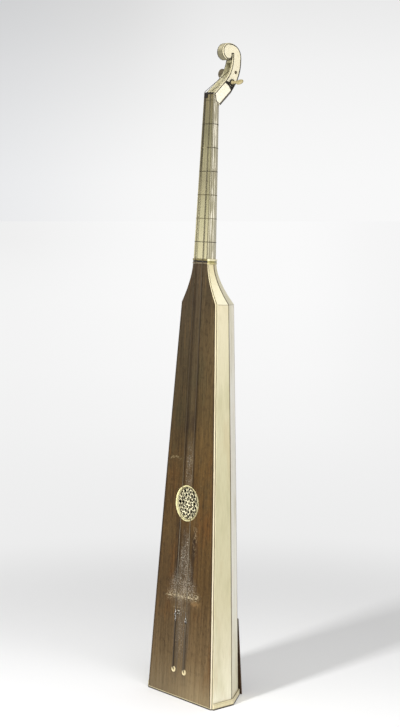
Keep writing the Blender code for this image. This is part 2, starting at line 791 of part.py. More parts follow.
def make_neck_front():
    """Ivory facing on the neck's front."""
    rings = []
    for w in (NECK_FOOT_W, NECK_TOP_W):
        half = neck_section(w)[0][0] - HALF_GAP
        rings.append(flat_ring([(half, 0.0), (half, FACING), (-half, FACING), (-half, 0.0)], w))
    return combine(loft("neck_front", rings, IVORY_WARM), head_socket(), "DIFFERENCE")


def make_neck_side(name, side):
    """Ivory facing round one side and half the back of the neck."""
    rings = []
    for w in (NECK_FOOT_W, NECK_TOP_W):
        section = neck_section(w)
        inner = offset_polygon(mirrored(section), FACING)
        g = HALF_GAP
        a, b, c, d = section
        cut = a[0] + g
        slope = (inner[1][1] - inner[0][1]) / (inner[1][0] - inner[0][0])
        a_in = (cut, inner[0][1] + (cut - inner[0][0]) * slope)
        ring = [(cut, g), b, c, d, (g, d[1]), (g, d[1] - FACING), inner[3], inner[2], inner[1], a_in]
        if side == "left":
            ring = flip(ring)
        rings.append(flat_ring(ring, w))
    return combine(loft(name, rings, IVORY_WARM), head_socket(), "DIFFERENCE")


def make_collar(name, low, height, proud, look):
    """Ring round the neck's foot."""
    outer = offset_polygon(mirrored(JOINT), -proud)
    inner = offset_polygon(mirrored(neck_section(NECK_FOOT_W)), FACING - GAP)
    levels = (low, low + height)
    outer_rings = [flat_ring(outer, w) for w in levels]
    inner_rings = [flat_ring(inner, w) for w in levels]
    return tube_loft(name, outer_rings, inner_rings, look)


def make_collars():
    """Lower ivory ring, ebony ring and upper ivory ring."""
    low = COLLAR_BOTTOM_W
    make_collar("collar_lower", low, COLLAR_LOWER, COLLAR_PROUD, IVORY)
    low += COLLAR_LOWER + GAP
    make_collar("collar_band", low, COLLAR_BAND, BAND_PROUD, EBONY)
    low += COLLAR_BAND + GAP
    make_collar("collar_upper", low, COLLAR_UPPER, COLLAR_PROUD, IVORY)


def make_mark(name, w):
    """Thin dark line round the neck."""
    outer = []
    inner = []
    for level in (w - MARK_HEIGHT / 2, w + MARK_HEIGHT / 2):
        ring = mirrored(neck_section(level))
        outer.append(flat_ring(offset_polygon(ring, -GAP - MARK_PROUD), level))
        inner.append(flat_ring(offset_polygon(ring, -GAP), level))
    return tube_loft(name, outer, inner, EBONY)


def make_nut():
    """Black bar at the neck's top, with a raised block at its left end."""
    top = NECK_TOP_W
    half = neck_section(top)[0][0] + NECK_TOP_EDGE / 2
    middle = top - NUT_HEIGHT
    left = NUT_INSET - half
    block = left + NUT_BLOCK_WIDTH
    bottom = top - NUT_BLOCK_HEIGHT
    outline = [(left, bottom), (block, bottom), (block, middle), (half, middle), (half, top), (left, top)]
    rings = [[Vector((u, v, w)) for u, w in outline] for v in (-GAP - NUT_DEPTH, -GAP)]
    return loft("nut", rings, EBONY)


def stem_direction(angle):
    """Unit vectors along the stem and back across it, at an angle from the board's direction."""
    return Vector((math.cos(angle), math.sin(angle))), Vector((math.sin(angle), -math.cos(angle)))


STEM_FOOT = Vector((STEM_FOOT_V, STEM_FOOT_W))
STEM_ALONG, STEM_ACROSS = stem_direction(STEM_ANGLE)
BEND_START = STEM_FOOT + STEM_ALONG * STEM_STRAIGHT
BEND_CENTRE = BEND_START - STEM_ACROSS * STEM_BEND
BEND_END = BEND_CENTRE + Vector((STEM_BEND, 0.0))
SCROLL_CENTRE = BEND_END + Vector((-SCROLL_FORWARD, SCROLL_RISE))


BEND_FROM = STEM_ANGLE - math.pi / 2


def bend_point(radius, angle):
    """Point (v, w) on a circle about the bend's centre; the angle is 0 at the bend's end."""
    return BEND_CENTRE + Vector((math.cos(angle), math.sin(angle))) * radius


def stem_half(angle):
    """Half the stem's depth at an angle round the bend."""
    return mix(STEM_HALF_FOOT, STEM_HALF_TOP, 1 - angle / BEND_FROM)


def front_edge(angle, extra=0.0):
    """Point on the stem's front edge round the bend, or a distance in from it."""
    return bend_point(STEM_BEND - stem_half(angle) + extra, angle)


def scroll_points(count=13):
    """Outline of the scroll from its inner end, under its front and up to its top."""
    points = []
    for i in range(count):
        angle = mix(SCROLL_TIP, -1.5 * math.pi, i / (count - 1))
        grow = min(1.0, (SCROLL_TIP - angle) / SCROLL_CURL)
        radius = mix(SCROLL_EYE, SCROLL_RADIUS, grow)
        points.append(SCROLL_CENTRE + Vector((math.cos(angle), math.sin(angle))) * radius)
    return points


def crown_points(count=8):
    """Outline from the scroll's top over the back to the bend's end."""
    reach = BEND_END.x + STEM_HALF_TOP - SCROLL_CENTRE.x
    height = SCROLL_CENTRE.y + SCROLL_RADIUS - BEND_END.y
    power = 2 / SCROLL_POWER
    points = []
    for i in range(1, count + 1):
        angle = math.pi / 2 * (1 - i / (count + 1))
        points.append(Vector((SCROLL_CENTRE.x + reach * math.cos(angle) ** power,
                              BEND_END.y + height * math.sin(angle) ** power)))
    return points


def head_parts(steps=7):
    """Outline (v, w) of the head from its side: front edges, then crown and back, then heel."""
    foot = STEM_FOOT - STEM_ACROSS * STEM_HALF_FOOT
    front = [foot + STEM_ALONG * ((NECK_TOP_W - foot.y) / STEM_ALONG.y)]
    turns = [i / steps for i in range(steps + 1)]
    front += [front_edge(mix(BEND_FROM, 0.0, t)) for t in turns]
    scroll = scroll_points()
    front.append(Vector((front[-1].x, scroll[0].y)))
    back = crown_points()
    for t in turns:
        angle = mix(0.0, BEND_FROM, t)
        back.append(bend_point(STEM_BEND + stem_half(angle), angle))
    heel = [STEM_FOOT + STEM_ACROSS * STEM_HALF_FOOT - STEM_ALONG * HEEL_TIP,
            STEM_FOOT - STEM_ALONG * HEEL_FRONT]
    return front + scroll, back, heel


def head_outline():
    """The head's whole outline as pairs."""
    front, back, heel = head_parts()
    return [(p.x, p.y) for p in front + back + heel]


def head_inset(at_front, at_back, at_heel):
    """The head's outline drawn in by a distance of its own along each stretch."""
    front, back, heel = head_parts()
    distances = [at_front] * (len(front) - 1) + [at_back] * len(back) + [at_heel] * (len(heel) + 1)
    return offset_polygon(head_outline(), distances, 1.6)


def head_half(w):
    """Half the head's width at a distance up the board."""
    top = SCROLL_CENTRE.y + SCROLL_RADIUS
    return mix(HEAD_HALF_FOOT, HEAD_HALF_TOP, (w - STEM_FOOT_W) / (top - STEM_FOOT_W))


def side_ring(outline, sign, depth):
    """Ring of an outline at a depth in from the head's side."""
    return [Vector((sign * (head_half(w) - depth), v, w)) for v, w in outline]


def slab(name, outline, inside, outside, look):
    """Plate on the head's right or left: its faces lie at distances in from the head's side."""
    rings = [[Vector((inside(w), v, w)) for v, w in outline],
             [Vector((outside(w), v, w)) for v, w in outline]]
    return loft(name, rings, look)


CORE_IN = CHEEK + CHEEK_LINE + 2 * GAP


def trough_cutter():
    """Room for the strings and the pegs, open at the front."""
    outside = 0.01
    foot = STEM_FOOT + STEM_ALONG * TROUGH_START - STEM_ACROSS * STEM_HALF_FOOT
    front = [foot - STEM_ACROSS * outside]
    floor = [foot + STEM_ACROSS * TROUGH_DEPTH]
    for i in range(7):
        angle = mix(BEND_FROM, -TROUGH_END, i / 6)
        front.append(front_edge(angle, -outside))
        floor.append(front_edge(angle, TROUGH_DEPTH))
    outline = [(p.x, p.y) for p in front + list(reversed(floor))]
    return slab("trough_cutter", outline, lambda w: -(head_half(w) - CORE_IN - TROUGH_WALL),
                lambda w: head_half(w) - CORE_IN - TROUGH_WALL, None)


def peg_axis(along, back):
    """Place (v, w) of a peg's axis."""
    return bend_point(STEM_BEND + back, along)


LOWER_AXIS = peg_axis(PEG_LOWER_ALONG, PEG_LOWER_BACK)
UPPER_AXIS = peg_axis(PEG_UPPER_ALONG, PEG_UPPER_BACK)


def drill_pegs(made):
    """Cut both peg holes."""
    radius = PEG_SHAFT + PEG_PLAY
    for place in (LOWER_AXIS, UPPER_AXIS):
        hole = cylinder("peg_cutter", (0, place.x, place.y), (1, 0, 0), radius, 0.12, PEG_SIDES)
        combine(made, hole, "DIFFERENCE")
    return made


def make_cheek(side, sign):
    """Ivory cheek with a bevelled edge, and the ebony border let into its face."""
    outline = head_outline()
    bevelled = head_inset(CHEEK_BEVEL, CHEEK_BEVEL, HEEL_BEVEL)
    inner = head_inset(CHEEK_BEVEL + BORDER_FRONT, CHEEK_BEVEL + BORDER_BACK, HEEL_BEVEL + BORDER_FRONT)
    face = head_inset(CHEEK_BEVEL + BORDER_FRONT + GAP, CHEEK_BEVEL + BORDER_BACK + GAP,
                      HEEL_BEVEL + BORDER_FRONT + GAP)
    shelf = CHEEK_BORDER + GAP
    rings = [side_ring(outline, sign, CHEEK), side_ring(outline, sign, shelf + CHEEK_BEVEL),
             side_ring(bevelled, sign, shelf), side_ring(face, sign, shelf), side_ring(face, sign, 0.0)]
    drill_pegs(loft("cheek_" + side, rings, IVORY))
    outer = [side_ring(bevelled, sign, CHEEK_BORDER), side_ring(bevelled, sign, 0.0)]
    within = [side_ring(inner, sign, CHEEK_BORDER), side_ring(inner, sign, 0.0)]
    tube_loft("cheek_border_" + side, outer, within, EBONY)


def make_head():
    """Pegbox with its scroll, and on each side an ebony sheet and a bordered cheek."""
    outline = head_outline()
    core = slab("pegbox", outline, lambda w: CORE_IN - head_half(w),
                lambda w: head_half(w) - CORE_IN, IVORY_WARM)
    combine(core, trough_cutter(), "DIFFERENCE")
    drill_pegs(core)
    for side, sign in (("right", 1), ("left", -1)):
        rings = [side_ring(outline, sign, CHEEK + GAP + CHEEK_LINE), side_ring(outline, sign, CHEEK + GAP)]
        drill_pegs(loft("cheek_line_" + side, rings, EBONY))
        make_cheek(side, sign)


def turned(name, profile, place, sides, look):
    """Round piece about an axis across the head, from pairs of distance and radius."""
    rings = []
    for u, radius in profile:
        rings.append([Vector((u, place.x + radius * math.cos(a), place.y + radius * math.sin(a)))
                      for a in [2 * math.pi * i / sides for i in range(sides)]])
    return loft(name, rings, look, smooth=True)


def peg_head(place, middle, size, turn):
    """Flat oval head of a peg."""
    along, across, thick = size
    rings = []
    steps = 9
    for i in range(steps):
        a = math.pi * (0.06 + 0.88 * i / (steps - 1))
        ring = []
        for k in range(16):
            b = 2 * math.pi * k / 16
            v = across * math.sin(a) ** 0.8 * math.cos(b)
            w = thick * math.sin(a) ** 0.6 * math.sin(b)
            ring.append(Vector((middle - along * math.cos(a),
                                place.x + v * math.cos(turn) - w * math.sin(turn),
                                place.y + v * math.sin(turn) + w * math.cos(turn))))
        rings.append(ring)
    return loft("peg_head_tool", rings, None, smooth=True)


def make_peg_upper():
    """Dark peg with its head on the left."""
    place = UPPER_AXIS
    edge = head_half(place.y)
    out = edge + UPPER_HEAD_OUT
    profile = [(edge + PEG_TAIL, PEG_SHAFT * 0.9), (edge, PEG_SHAFT), (-edge - GAP, PEG_SHAFT),
               (-edge - GAP - 0.0002, PEG_COLLAR), (-edge - 0.0022, PEG_COLLAR), (-edge - 0.0034, UPPER_NECK),
               (-out + UPPER_HEAD[0] * 0.5, UPPER_NECK)]
    peg = turned("peg_upper", profile, place, PEG_SIDES, PEG_WOOD)
    combine(peg, peg_head(place, -out, UPPER_HEAD, UPPER_TURN), "UNION")
    return set_origin(peg, (0, place.x, place.y))


def make_peg_lower():
    """Ivory peg with its hub and winged handle on the right."""
    place = LOWER_AXIS
    edge = head_half(place.y)
    out = edge + LOWER_HEAD_OUT
    hub = edge + GAP
    profile = [(-edge - PEG_TAIL, PEG_SHAFT * 0.9), (-edge, PEG_SHAFT), (hub, PEG_SHAFT),
               (hub + 0.0002, HUB), (hub + HUB_LENGTH, HUB), (hub + HUB_LENGTH + 0.0010, LOWER_NECK),
               (out - LOWER_HEAD[0] * 0.5, LOWER_NECK)]
    peg = turned("peg_lower", profile, place, PEG_SIDES, IVORY_WARM)
    combine(peg, peg_head(place, out, LOWER_HEAD, LOWER_TURN), "UNION")
    return set_origin(peg, (0, place.x, place.y))


def make_wheel():
    """Ratchet wheel on the lower peg's hub."""
    place = LOWER_AXIS
    low = head_half(place.y) + GAP + PLATE + GAP
    outer = []
    inner = []
    for u in (low, low + WHEEL):
        out_ring = []
        in_ring = []
        for i in range(WHEEL_TEETH):
            for share, radius in ((0.0, WHEEL_ROOT), (0.86, WHEEL_TIP)):
                a = 2 * math.pi * (i + share) / WHEEL_TEETH
                out_ring.append(Vector((u, place.x + radius * math.cos(a), place.y + radius * math.sin(a))))
                b = HUB + SHAFT_PLAY
                in_ring.append(Vector((u, place.x + b * math.cos(a), place.y + b * math.sin(a))))
        outer.append(out_ring)
        inner.append(in_ring)
    wheel = tube_loft("ratchet_wheel", outer, inner, IRON)
    return set_origin(wheel, (0, place.x, place.y))


def iron_slab(name, outline, low, thick, place):
    """Flat iron piece on the right cheek; its outline is measured from the lower peg's axis."""
    edge = head_half(place.y)
    lean = (HEAD_HALF_TOP - HEAD_HALF_FOOT) / (SCROLL_CENTRE.y + SCROLL_RADIUS - STEM_FOOT_W)
    points = [(place.x + v, place.y + w) for v, w in outline]
    def under(w):
        return edge + lean * (w - place.y) + low
    return slab(name, points, under, lambda w: under(w) + thick, IRON)


def make_plate():
    """Iron plate under the pawl, with the pawl's pin, hollowed round the wheel."""
    place = LOWER_AXIS
    clear = WHEEL_TIP + 0.0011
    outline = [(-0.0215, -0.0030), (-0.0200, 0.0022), (-clear * 1.06, 0.0022)]
    for degrees in (176, 192, 208, 224, 240, 256, 272, 288, 304, 322):
        a = math.radians(degrees)
        outline.append((clear * math.cos(a), clear * math.sin(a)))
    outline += [(0.0112, -0.0098), (0.0038, -0.0150), (0.0020, -0.0218), (-0.0001, -0.0242),
                (-0.0018, -0.0226), (-0.0066, -0.0150), (-0.0125, -0.0088)]
    plate = iron_slab("iron_plate", outline, GAP, PLATE, place)
    pin_place = (head_half(place.y), place.x + PAWL_PIN_V, place.y + PAWL_PIN_W)
    low = pin_place[0] + GAP + PLATE * 0.5
    high = pin_place[0] + GAP + PLATE + GAP + PAWL + 0.0008
    middle = ((low + high) / 2, pin_place[1], pin_place[2])
    pin = cylinder("pin_tool", middle, (1, 0, 0), PAWL_PIN, high - low, 12)
    return combine(plate, pin, "UNION")


def make_pawl():
    """Pawl that rests on the wheel, with a short thumb end."""
    place = LOWER_AXIS
    reach = WHEEL_TIP + GAP * 1.3
    nose = (reach * math.cos(PAWL_NOSE), reach * math.sin(PAWL_NOSE))
    pin = (PAWL_PIN_V, PAWL_PIN_W)
    outline = [nose, (nose[0] - 0.0012, nose[1] - 0.0018), (pin[0] + 0.0010, pin[1] - 0.0030),
               (pin[0] - 0.0026, pin[1] - 0.0022), (pin[0] - 0.0062, pin[1] - 0.0008),
               (pin[0] - 0.0070, pin[1] + 0.0016), (pin[0] - 0.0052, pin[1] + 0.0030),
               (pin[0] - 0.0006, pin[1] + 0.0026), (pin[0] + 0.0022, pin[1] + 0.0014)]
    pawl = iron_slab("pawl", outline, GAP + PLATE + GAP, PAWL, place)
    hole = cylinder("pin_cutter", (head_half(place.y), place.x + pin[0], place.y + pin[1]), (1, 0, 0),
                    PAWL_PIN + SHAFT_PLAY * 0.8, 0.02, 12)
    combine(pawl, hole, "DIFFERENCE")
    return set_origin(pawl, (head_half(place.y), place.x + pin[0], place.y + pin[1]))


def tube(name, points, radius, look, resolution=STRING_SIDES):
    """Round cord through points, with closed ends, as a mesh."""
    curve = bpy.data.curves.new(name, "CURVE")
    curve.dimensions = "3D"
    curve.resolution_u = 1
    curve.render_resolution_u = 0
    curve.bevel_depth = radius
    curve.bevel_resolution = resolution
    curve.use_fill_caps = True
    spline = curve.splines.new("POLY")
    spline.points.add(len(points) - 1)
    for point, place in zip(spline.points, points):
        point.co = (place[0], place[1], place[2], 1.0)
    made = bpy.data.objects.new(name, curve)
    bpy.context.scene.collection.objects.link(made)
    curve.materials.append(material(name, look))
    return made


STRING_V = -GAP - NUT_DEPTH - GAP - STRING
WIND_RADIUS = PEG_SHAFT + STRING + WIND_LIFT


def peg_tangent(place):
    """Where a string from the nut meets the outside of a peg's winding (v, w)."""
    start = Vector((STRING_V, NECK_TOP_W + NUT_BREAK))
    reach = WIND_RADIUS + 2 * STRING + STRING_CLEAR
    line = place - start
    swing = math.asin(reach / line.length)
    angle = math.atan2(line.y, line.x) + swing
    length = math.sqrt(line.length ** 2 - reach ** 2)
    return start + Vector((math.cos(angle), math.sin(angle))) * length


def arc(points, corner, before, after, radius, steps=4):
    """Append a rounded corner between two directions."""
    a = corner + (before - corner).normalized() * radius
    b = corner + (after - corner).normalized() * radius
    for i in range(steps + 1):
        t = i / steps
        points.append(a * (1 - t) ** 2 + corner * (2 * t * (1 - t)) + b * t ** 2)


def string_route(at_nut, at_eyelet, knot_w, at_peg, place):
    """Points of a string from its peg over the nut to the eyelet, and back up to its own knot."""
    tangent = peg_tangent(place)
    peg_end = Vector((at_peg, tangent.x, tangent.y))
    nut = Vector((at_nut, STRING_V, NECK_TOP_W + NUT_BREAK))
    top = Vector((at_nut, STRING_V, NECK_TOP_W - 0.004))
    low_v = -(KNOT_RADIUS + STRING + GAP)
    knot = Vector((at_eyelet - TAIL_SPREAD, low_v, knot_w))
    spread = TAIL_SPREAD
    bend_w = EYELET_W + TAIL_RISE
    leg = Vector((at_eyelet - spread, low_v - TAIL_CLEAR, bend_w))
    inside = Vector((at_eyelet - spread, BOARD + 0.008, bend_w))
    points = [peg_end]
    arc(points, nut, peg_end, top, NUT_BREAK, 3)
    points.append(mix_vectors(top, knot, 0.5))
    points.append(knot)
    arc(points, leg, knot, inside, 0.0030, 4)
    points.append(inside)
    for degrees in (45, 90, 135):
        a = math.radians(degrees)
        points.append(Vector((at_eyelet - spread * math.cos(a), inside.y + spread * math.sin(a), bend_w)))
    inside_right = Vector((at_eyelet + spread, inside.y, bend_w))
    points.append(inside_right)
    leg_right = Vector((at_eyelet + spread, leg.y, bend_w))
    knot_right = Vector((knot.x + KNOT_RADIUS, low_v, knot_w - KNOT_TURNS * KNOT_PITCH))
    arc(points, leg_right, inside_right, knot_right, 0.0030, 4)
    points.append(mix_vectors(leg_right, knot_right, 0.9))
    steps = KNOT_TURNS * 8
    for i in range(steps + 1):
        a = 2 * math.pi * KNOT_TURNS * i / steps
        points.append(Vector((knot.x + KNOT_RADIUS * math.cos(a), low_v + KNOT_RADIUS * math.sin(a),
                              knot_right.z + KNOT_TURNS * KNOT_PITCH * i / steps)))
    return points


def mix_vectors(a, b, t):
    """Vector at fraction t of the way from a to b."""
    return a + (b - a) * t


def self_gap(points, per_turn):
    """Least distance between points of a winding that lie at least half a turn apart."""
    places = [Vector(point) for point in points]
    return min((a - b).length for i, a in enumerate(places) for b in places[i + per_turn // 2 + 1:])


def make_winding(name, place, start, direction):
    """String's turns on a peg."""
    points = []
    per_turn = 9
    tangent = peg_tangent(place) - place
    first = math.atan2(tangent.y, tangent.x)
    for i in range(WIND_TURNS * per_turn + 1):
        a = first - 2 * math.pi * i / per_turn
        u = start + direction * WIND_PITCH * i / per_turn
        points.append((u, place.x + WIND_RADIUS * math.cos(a), place.y + WIND_RADIUS * math.sin(a)))
    print(name, "least gap to itself (mm):", round(1000 * self_gap(points, per_turn) - 2000 * STRING, 3))
    wound = tube(name, points, STRING, GUT, 1)
    wound.data.transform(Matrix.Translation(Vector((0, -place.x, -place.y))))
    wound.location = (0, place.x, place.y)
    return wound


def make_eyelet(name, u):
    """Ivory eyelet with a rounded flange."""
    f = EYELET_FLANGE
    b = EYELET_BORE
    t = EYELET_THICK
    profile = [(f, -GAP), (f, -GAP - t * 0.45), (f * 0.9, -GAP - t * 0.9), (f * 0.7, -GAP - t),
               (b * 1.25, -GAP - t * 0.85), (b, -GAP - t * 0.4), (b, BOARD + 0.003),
               (EYELET_BARREL, BOARD + 0.003), (EYELET_BARREL, -GAP)]
    bm = bmesh.new()
    sides = 18
    rows = []
    for i in range(sides):
        a = 2 * math.pi * i / sides
        rows.append([bm.verts.new((u + r * math.cos(a), v, EYELET_W + r * math.sin(a))) for r, v in profile])
    for i in range(sides):
        one = rows[i]
        two = rows[(i + 1) % sides]
        for k in range(len(profile)):
            m = (k + 1) % len(profile)
            bm.faces.new((one[k], one[m], two[m], two[k]))
    return finish(name, bm, IVORY, smooth=True)


def back_frame():
    """Empty on the flap's hinge axis: x across, y straight out from the back, z up along it."""
    low = body_point(FOOT[3], SHOULDER[3], 0.0)
    high = body_point(FOOT[3], SHOULDER[3], 1.0)
    tilt = math.atan2(high.y - low.y, high.z - low.z)
    at = body_point(FOOT[3], SHOULDER[3], body_fraction(SHOULDER[3], FLAP_TOP))
    axis_out = GAP + BARREL
    place = Vector((0.0, at.y + math.cos(tilt) * axis_out, at.z - math.sin(tilt) * axis_out))
    fixed = bpy.data.objects.new("hinge_frame", None)
    bpy.context.scene.collection.objects.link(fixed)
    fixed.location = place
    fixed.rotation_euler = (-tilt, 0, 0)
    return fixed, tilt, at


def box_points(x0, x1, y0, y1, z0, z1):
    """Two rings of a box."""
    return [[Vector((x, y, z)) for x, y in ((x0, y0), (x1, y0), (x1, y1), (x0, y1))] for z in (z0, z1)]


def make_hinge(fixed, moving):
    """Leaf with two knuckles on the back, leaf with one on the flap's outer face, and the pin."""
    third = LEAF_LENGTH / 3
    fixed_half = LEAF_LENGTH / 2
    moving_half = third / 2 - GAP
    moving_low = FLAP - BARREL + GAP
    rings = box_points(-fixed_half, fixed_half, -BARREL, LEAF - BARREL, 0.0, LEAF_HEIGHT)
    leaf_fixed = loft("hinge_leaf_fixed", rings, IRON)
    room = box_points(-third / 2, third / 2, -2 * BARREL, 2 * BARREL, -2 * BARREL, BARREL + GAP)
    combine(leaf_fixed, loft("knuckle_cutter", room, None), "DIFFERENCE")
    rings = box_points(-moving_half, moving_half, moving_low, moving_low + LEAF, -LEAF_HEIGHT, 0.0)
    leaf_moving = loft("hinge_leaf_moving", rings, IRON)
    knuckles = ((leaf_fixed, -third, third - GAP), (leaf_fixed, third, third - GAP),
                (leaf_moving, 0.0, 2 * moving_half))
    for leaf, middle, length in knuckles:
        knuckle = cylinder("knuckle_tool", (middle, 0, 0), (1, 0, 0), BARREL, length, BARREL_SIDES)
        combine(leaf, knuckle, "UNION")
    for leaf in (leaf_fixed, leaf_moving):
        bore = cylinder("bore_cutter", (0, 0, 0), (1, 0, 0), BARREL_BORE, LEAF_LENGTH * 1.5, BARREL_SIDES)
        combine(leaf, bore, "DIFFERENCE")
    leaf_fixed.parent = fixed
    leaf_moving.parent = moving
    pin = cylinder("hinge_pin", (0, 0, 0), (1, 0, 0), HINGE_PIN, LEAF_LENGTH, BARREL_SIDES, IRON)
    pin.parent = fixed


def make_flap(board_frame):
    """Board hinged low on the back, standing a little open."""
    fixed, tilt, at = back_frame()
    fixed.parent = board_frame
    moving = bpy.data.objects.new("flap_frame", None)
    bpy.context.scene.collection.objects.link(moving)
    moving.parent = fixed
    moving.rotation_euler = (FLAP_OPEN, 0, 0)
    length = (FLAP_TOP - FLAP_CLEAR) / math.cos(LEAN - tilt) - GAP
    top_half = at.x - FLAP_MARGIN
    foot_half = FOOT[3][0] - FLAP_MARGIN
    inner = -BARREL
    high = -BARREL - GAP
    rings = []
    for half, level in ((foot_half, -length), (top_half, high)):
        rings.append([Vector((half, inner, level)), Vector((half, inner + FLAP, level)),
                      Vector((-half, inner + FLAP, level)), Vector((-half, inner, level))])
    flap = loft("back_flap", rings, FLAP_WOOD)
    flap.parent = moving
    make_hinge(fixed, moving)


def depth_range():
    """Least and greatest distance back of the whole part, before it is centred."""
    most = max(v * COS + w * SIN for v, w in head_outline())
    return 0.0, most


def make_body():
    """Sound box with everything in and on it."""
    make_soundboard()
    make_foot_strip()
    make_back_board()
    make_shoulder("shoulder_back", "back", "right")
    for side in ("right", "left"):
        make_edging("edging_" + side, side)
        make_rib("side_rib_" + side, "side", side)
        make_rib("diagonal_rib_" + side, "diagonal", side)
        make_shoulder("shoulder_side_" + side, "side", side)
        make_shoulder("shoulder_diagonal_" + side, "diagonal", side)
        make_lining("lining_" + side, side)
    make_base_band()
    make_sole()
    make_bottom_frame()
    make_bar("bar_lower", BAR_LOWER_W)
    make_bar("bar_upper", BAR_UPPER_W)
    make_neck_block()
    make_rosette_ring()
    make_tracery()
    make_eyelet("eyelet_left", LEFT_AT_EYELET)
    make_eyelet("eyelet_right", RIGHT_AT_EYELET)


def make_neck():
    """Neck with its facings, collar, marks and nut."""
    make_neck_core()
    make_neck_front()
    make_neck_side("neck_side_right", "right")
    make_neck_side("neck_side_left", "left")
    make_collars()
    step = (NECK_LENGTH - MARK_LOW - MARK_HIGH) / (MARK_COUNT - 1)
    for i in range(MARK_COUNT):
        make_mark("position_mark_" + str(i + 1), NECK_FOOT_W + MARK_LOW + step * i)
    make_nut()


def make_strings():
    """Both strings and their windings."""
    left = string_route(LEFT_AT_NUT, LEFT_AT_EYELET, LEFT_KNOT_W, LEFT_AT_PEG, UPPER_AXIS)
    right = string_route(RIGHT_AT_NUT, RIGHT_AT_EYELET, RIGHT_KNOT_W, RIGHT_AT_PEG, LOWER_AXIS)
    tube("string_left", left, STRING, GUT)
    tube("string_right", right, STRING, GUT)
    make_winding("winding_left", UPPER_AXIS, LEFT_AT_PEG, 1)
    make_winding("winding_right", LOWER_AXIS, RIGHT_AT_PEG, -1)


def main():
    """Build the instrument."""
    for old in list(bpy.data.objects):
        bpy.data.objects.remove(old)
    near, far = depth_range()
    board_frame = bpy.data.objects.new("board_frame", None)
    bpy.context.scene.collection.objects.link(board_frame)
    board_frame.location = (0.0, -(near + far) / 2, 0.0)
    board_frame.rotation_euler = (-LEAN, 0.0, 0.0)
    make_body()
    make_neck()
    make_head()
    make_peg_upper()
    make_peg_lower()
    make_wheel()
    make_plate()
    make_pawl()
    make_strings()
    for made in list(bpy.data.objects):
        if made != board_frame:
            made.parent = board_frame
    make_flap(board_frame)
    bpy.context.view_layer.update()


main()
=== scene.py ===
"""Looks of the tromba marina: its finishes, its studio and the camera of the photograph."""
import math

import bpy
from mathutils import Matrix, Vector


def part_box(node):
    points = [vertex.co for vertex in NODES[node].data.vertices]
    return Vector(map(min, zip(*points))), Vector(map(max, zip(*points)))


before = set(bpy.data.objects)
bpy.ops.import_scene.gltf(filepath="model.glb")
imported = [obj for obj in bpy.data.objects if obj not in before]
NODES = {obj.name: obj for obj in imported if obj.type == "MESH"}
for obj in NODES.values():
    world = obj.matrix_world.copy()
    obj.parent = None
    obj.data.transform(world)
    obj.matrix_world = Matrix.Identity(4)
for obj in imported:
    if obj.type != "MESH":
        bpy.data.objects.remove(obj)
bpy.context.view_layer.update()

# Camera of the photograph, measured from the foot of the soundboard's face
FACE_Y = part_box("base_sole")[0][1]
CAMERA_AZIMUTH = math.radians(51.578)
CAMERA_DISTANCE = 4.8428
CAMERA_HEIGHT = 1.5147
CAMERA_TILT = math.radians(6.222)
CAMERA_PAN = math.radians(0.748)
SENSOR = 36.0
LENS = 84.16

# Stance of the instrument, for patterns that follow its board
LEAN = math.radians(3.71)
BOARD_TOP = 1.2725
SHOULDER = 1.1594
SHOULDER_LENGTH = 0.1131
SHOULDER_CURVE = 1.6
FOOT_HALF = 0.1453
NECK_FOOT = 1.2875
ROSETTE_ACROSS = -0.0045
ROSETTE_UP = 0.5758
BOARD_NORMAL = (0.0, -math.cos(LEAN), math.sin(LEAN))
FIRST_MARK = 1.3357
MARK_STEP = 0.0674

# The head's stem from its side: its foot, its straight run and its bend
STEM_FOOT = (0.0162, 1.7458)
STEM_STRAIGHT = 0.0504
STEM_BEND = 0.12
STEM_HALF = 0.0193
BEND_CENTRE = (-0.0330, 1.8662)
SLANT = math.sqrt(0.5)
NECK_LENGTH = 0.4748

# Strength of the sky's light on the instrument, and the way to the right along the backdrop
FILL = 0.42
SIDEWAYS = (0.62, 0.78)


def srgb(red, green, blue):
    """Linear colour of an 8-bit screen colour."""
    out = []
    for value in (red, green, blue):
        value = value / 255
        out.append(value / 12.92 if value <= 0.04045 else ((value + 0.055) / 1.055) ** 2.4)
    return (*out, 1.0)


def grey(value):
    """Neutral colour of an 8-bit screen tone."""
    return srgb(value, value, value)


class Amount:
    """A number that varies over a surface. An expression on it adds the Math nodes it needs."""

    def __init__(self, finish, socket):
        self.finish = finish
        self.socket = socket

    def maths(self, operation, *others, clamp=False):
        """Result of one Math node on this amount and others."""
        settings = {"operation": operation, "use_clamp": clamp}
        sockets = {0: self}
        sockets.update({i + 1: other for i, other in enumerate(others)})
        return self.finish.add("ShaderNodeMath", settings, sockets)

    def __add__(self, other):
        return self.maths("ADD", other)

    def __radd__(self, other):
        return self.maths("ADD", other)

    def __sub__(self, other):
        return self.maths("SUBTRACT", other)

    def __rsub__(self, other):
        return self.maths("MULTIPLY_ADD", -1.0, other)

    def __mul__(self, other):
        return self.maths("MULTIPLY", other)

    def __rmul__(self, other):
        return self.maths("MULTIPLY", other)

    def __truediv__(self, other):
        return self.maths("DIVIDE", other)

    def __pow__(self, other):
        return self.maths("POWER", other)

    def least(self, other):
        """The smaller of this amount and another."""
        return self.maths("MINIMUM", other)

    def most(self, other):
        """The larger of this amount and another."""
        return self.maths("MAXIMUM", other)

    def rise(self, low, high):
        """Smooth step from 0 at low to 1 at high."""
        settings = {"interpolation_type": "SMOOTHSTEP"}
        return self.finish.add("ShaderNodeMapRange", settings, {0: self, 1: low, 2: high})

    def band(self, low, high, soft):
        """1 between low and high, with soft edges."""
        return self.rise(low - soft, low + soft) * (1.0 - self.rise(high - soft, high + soft))


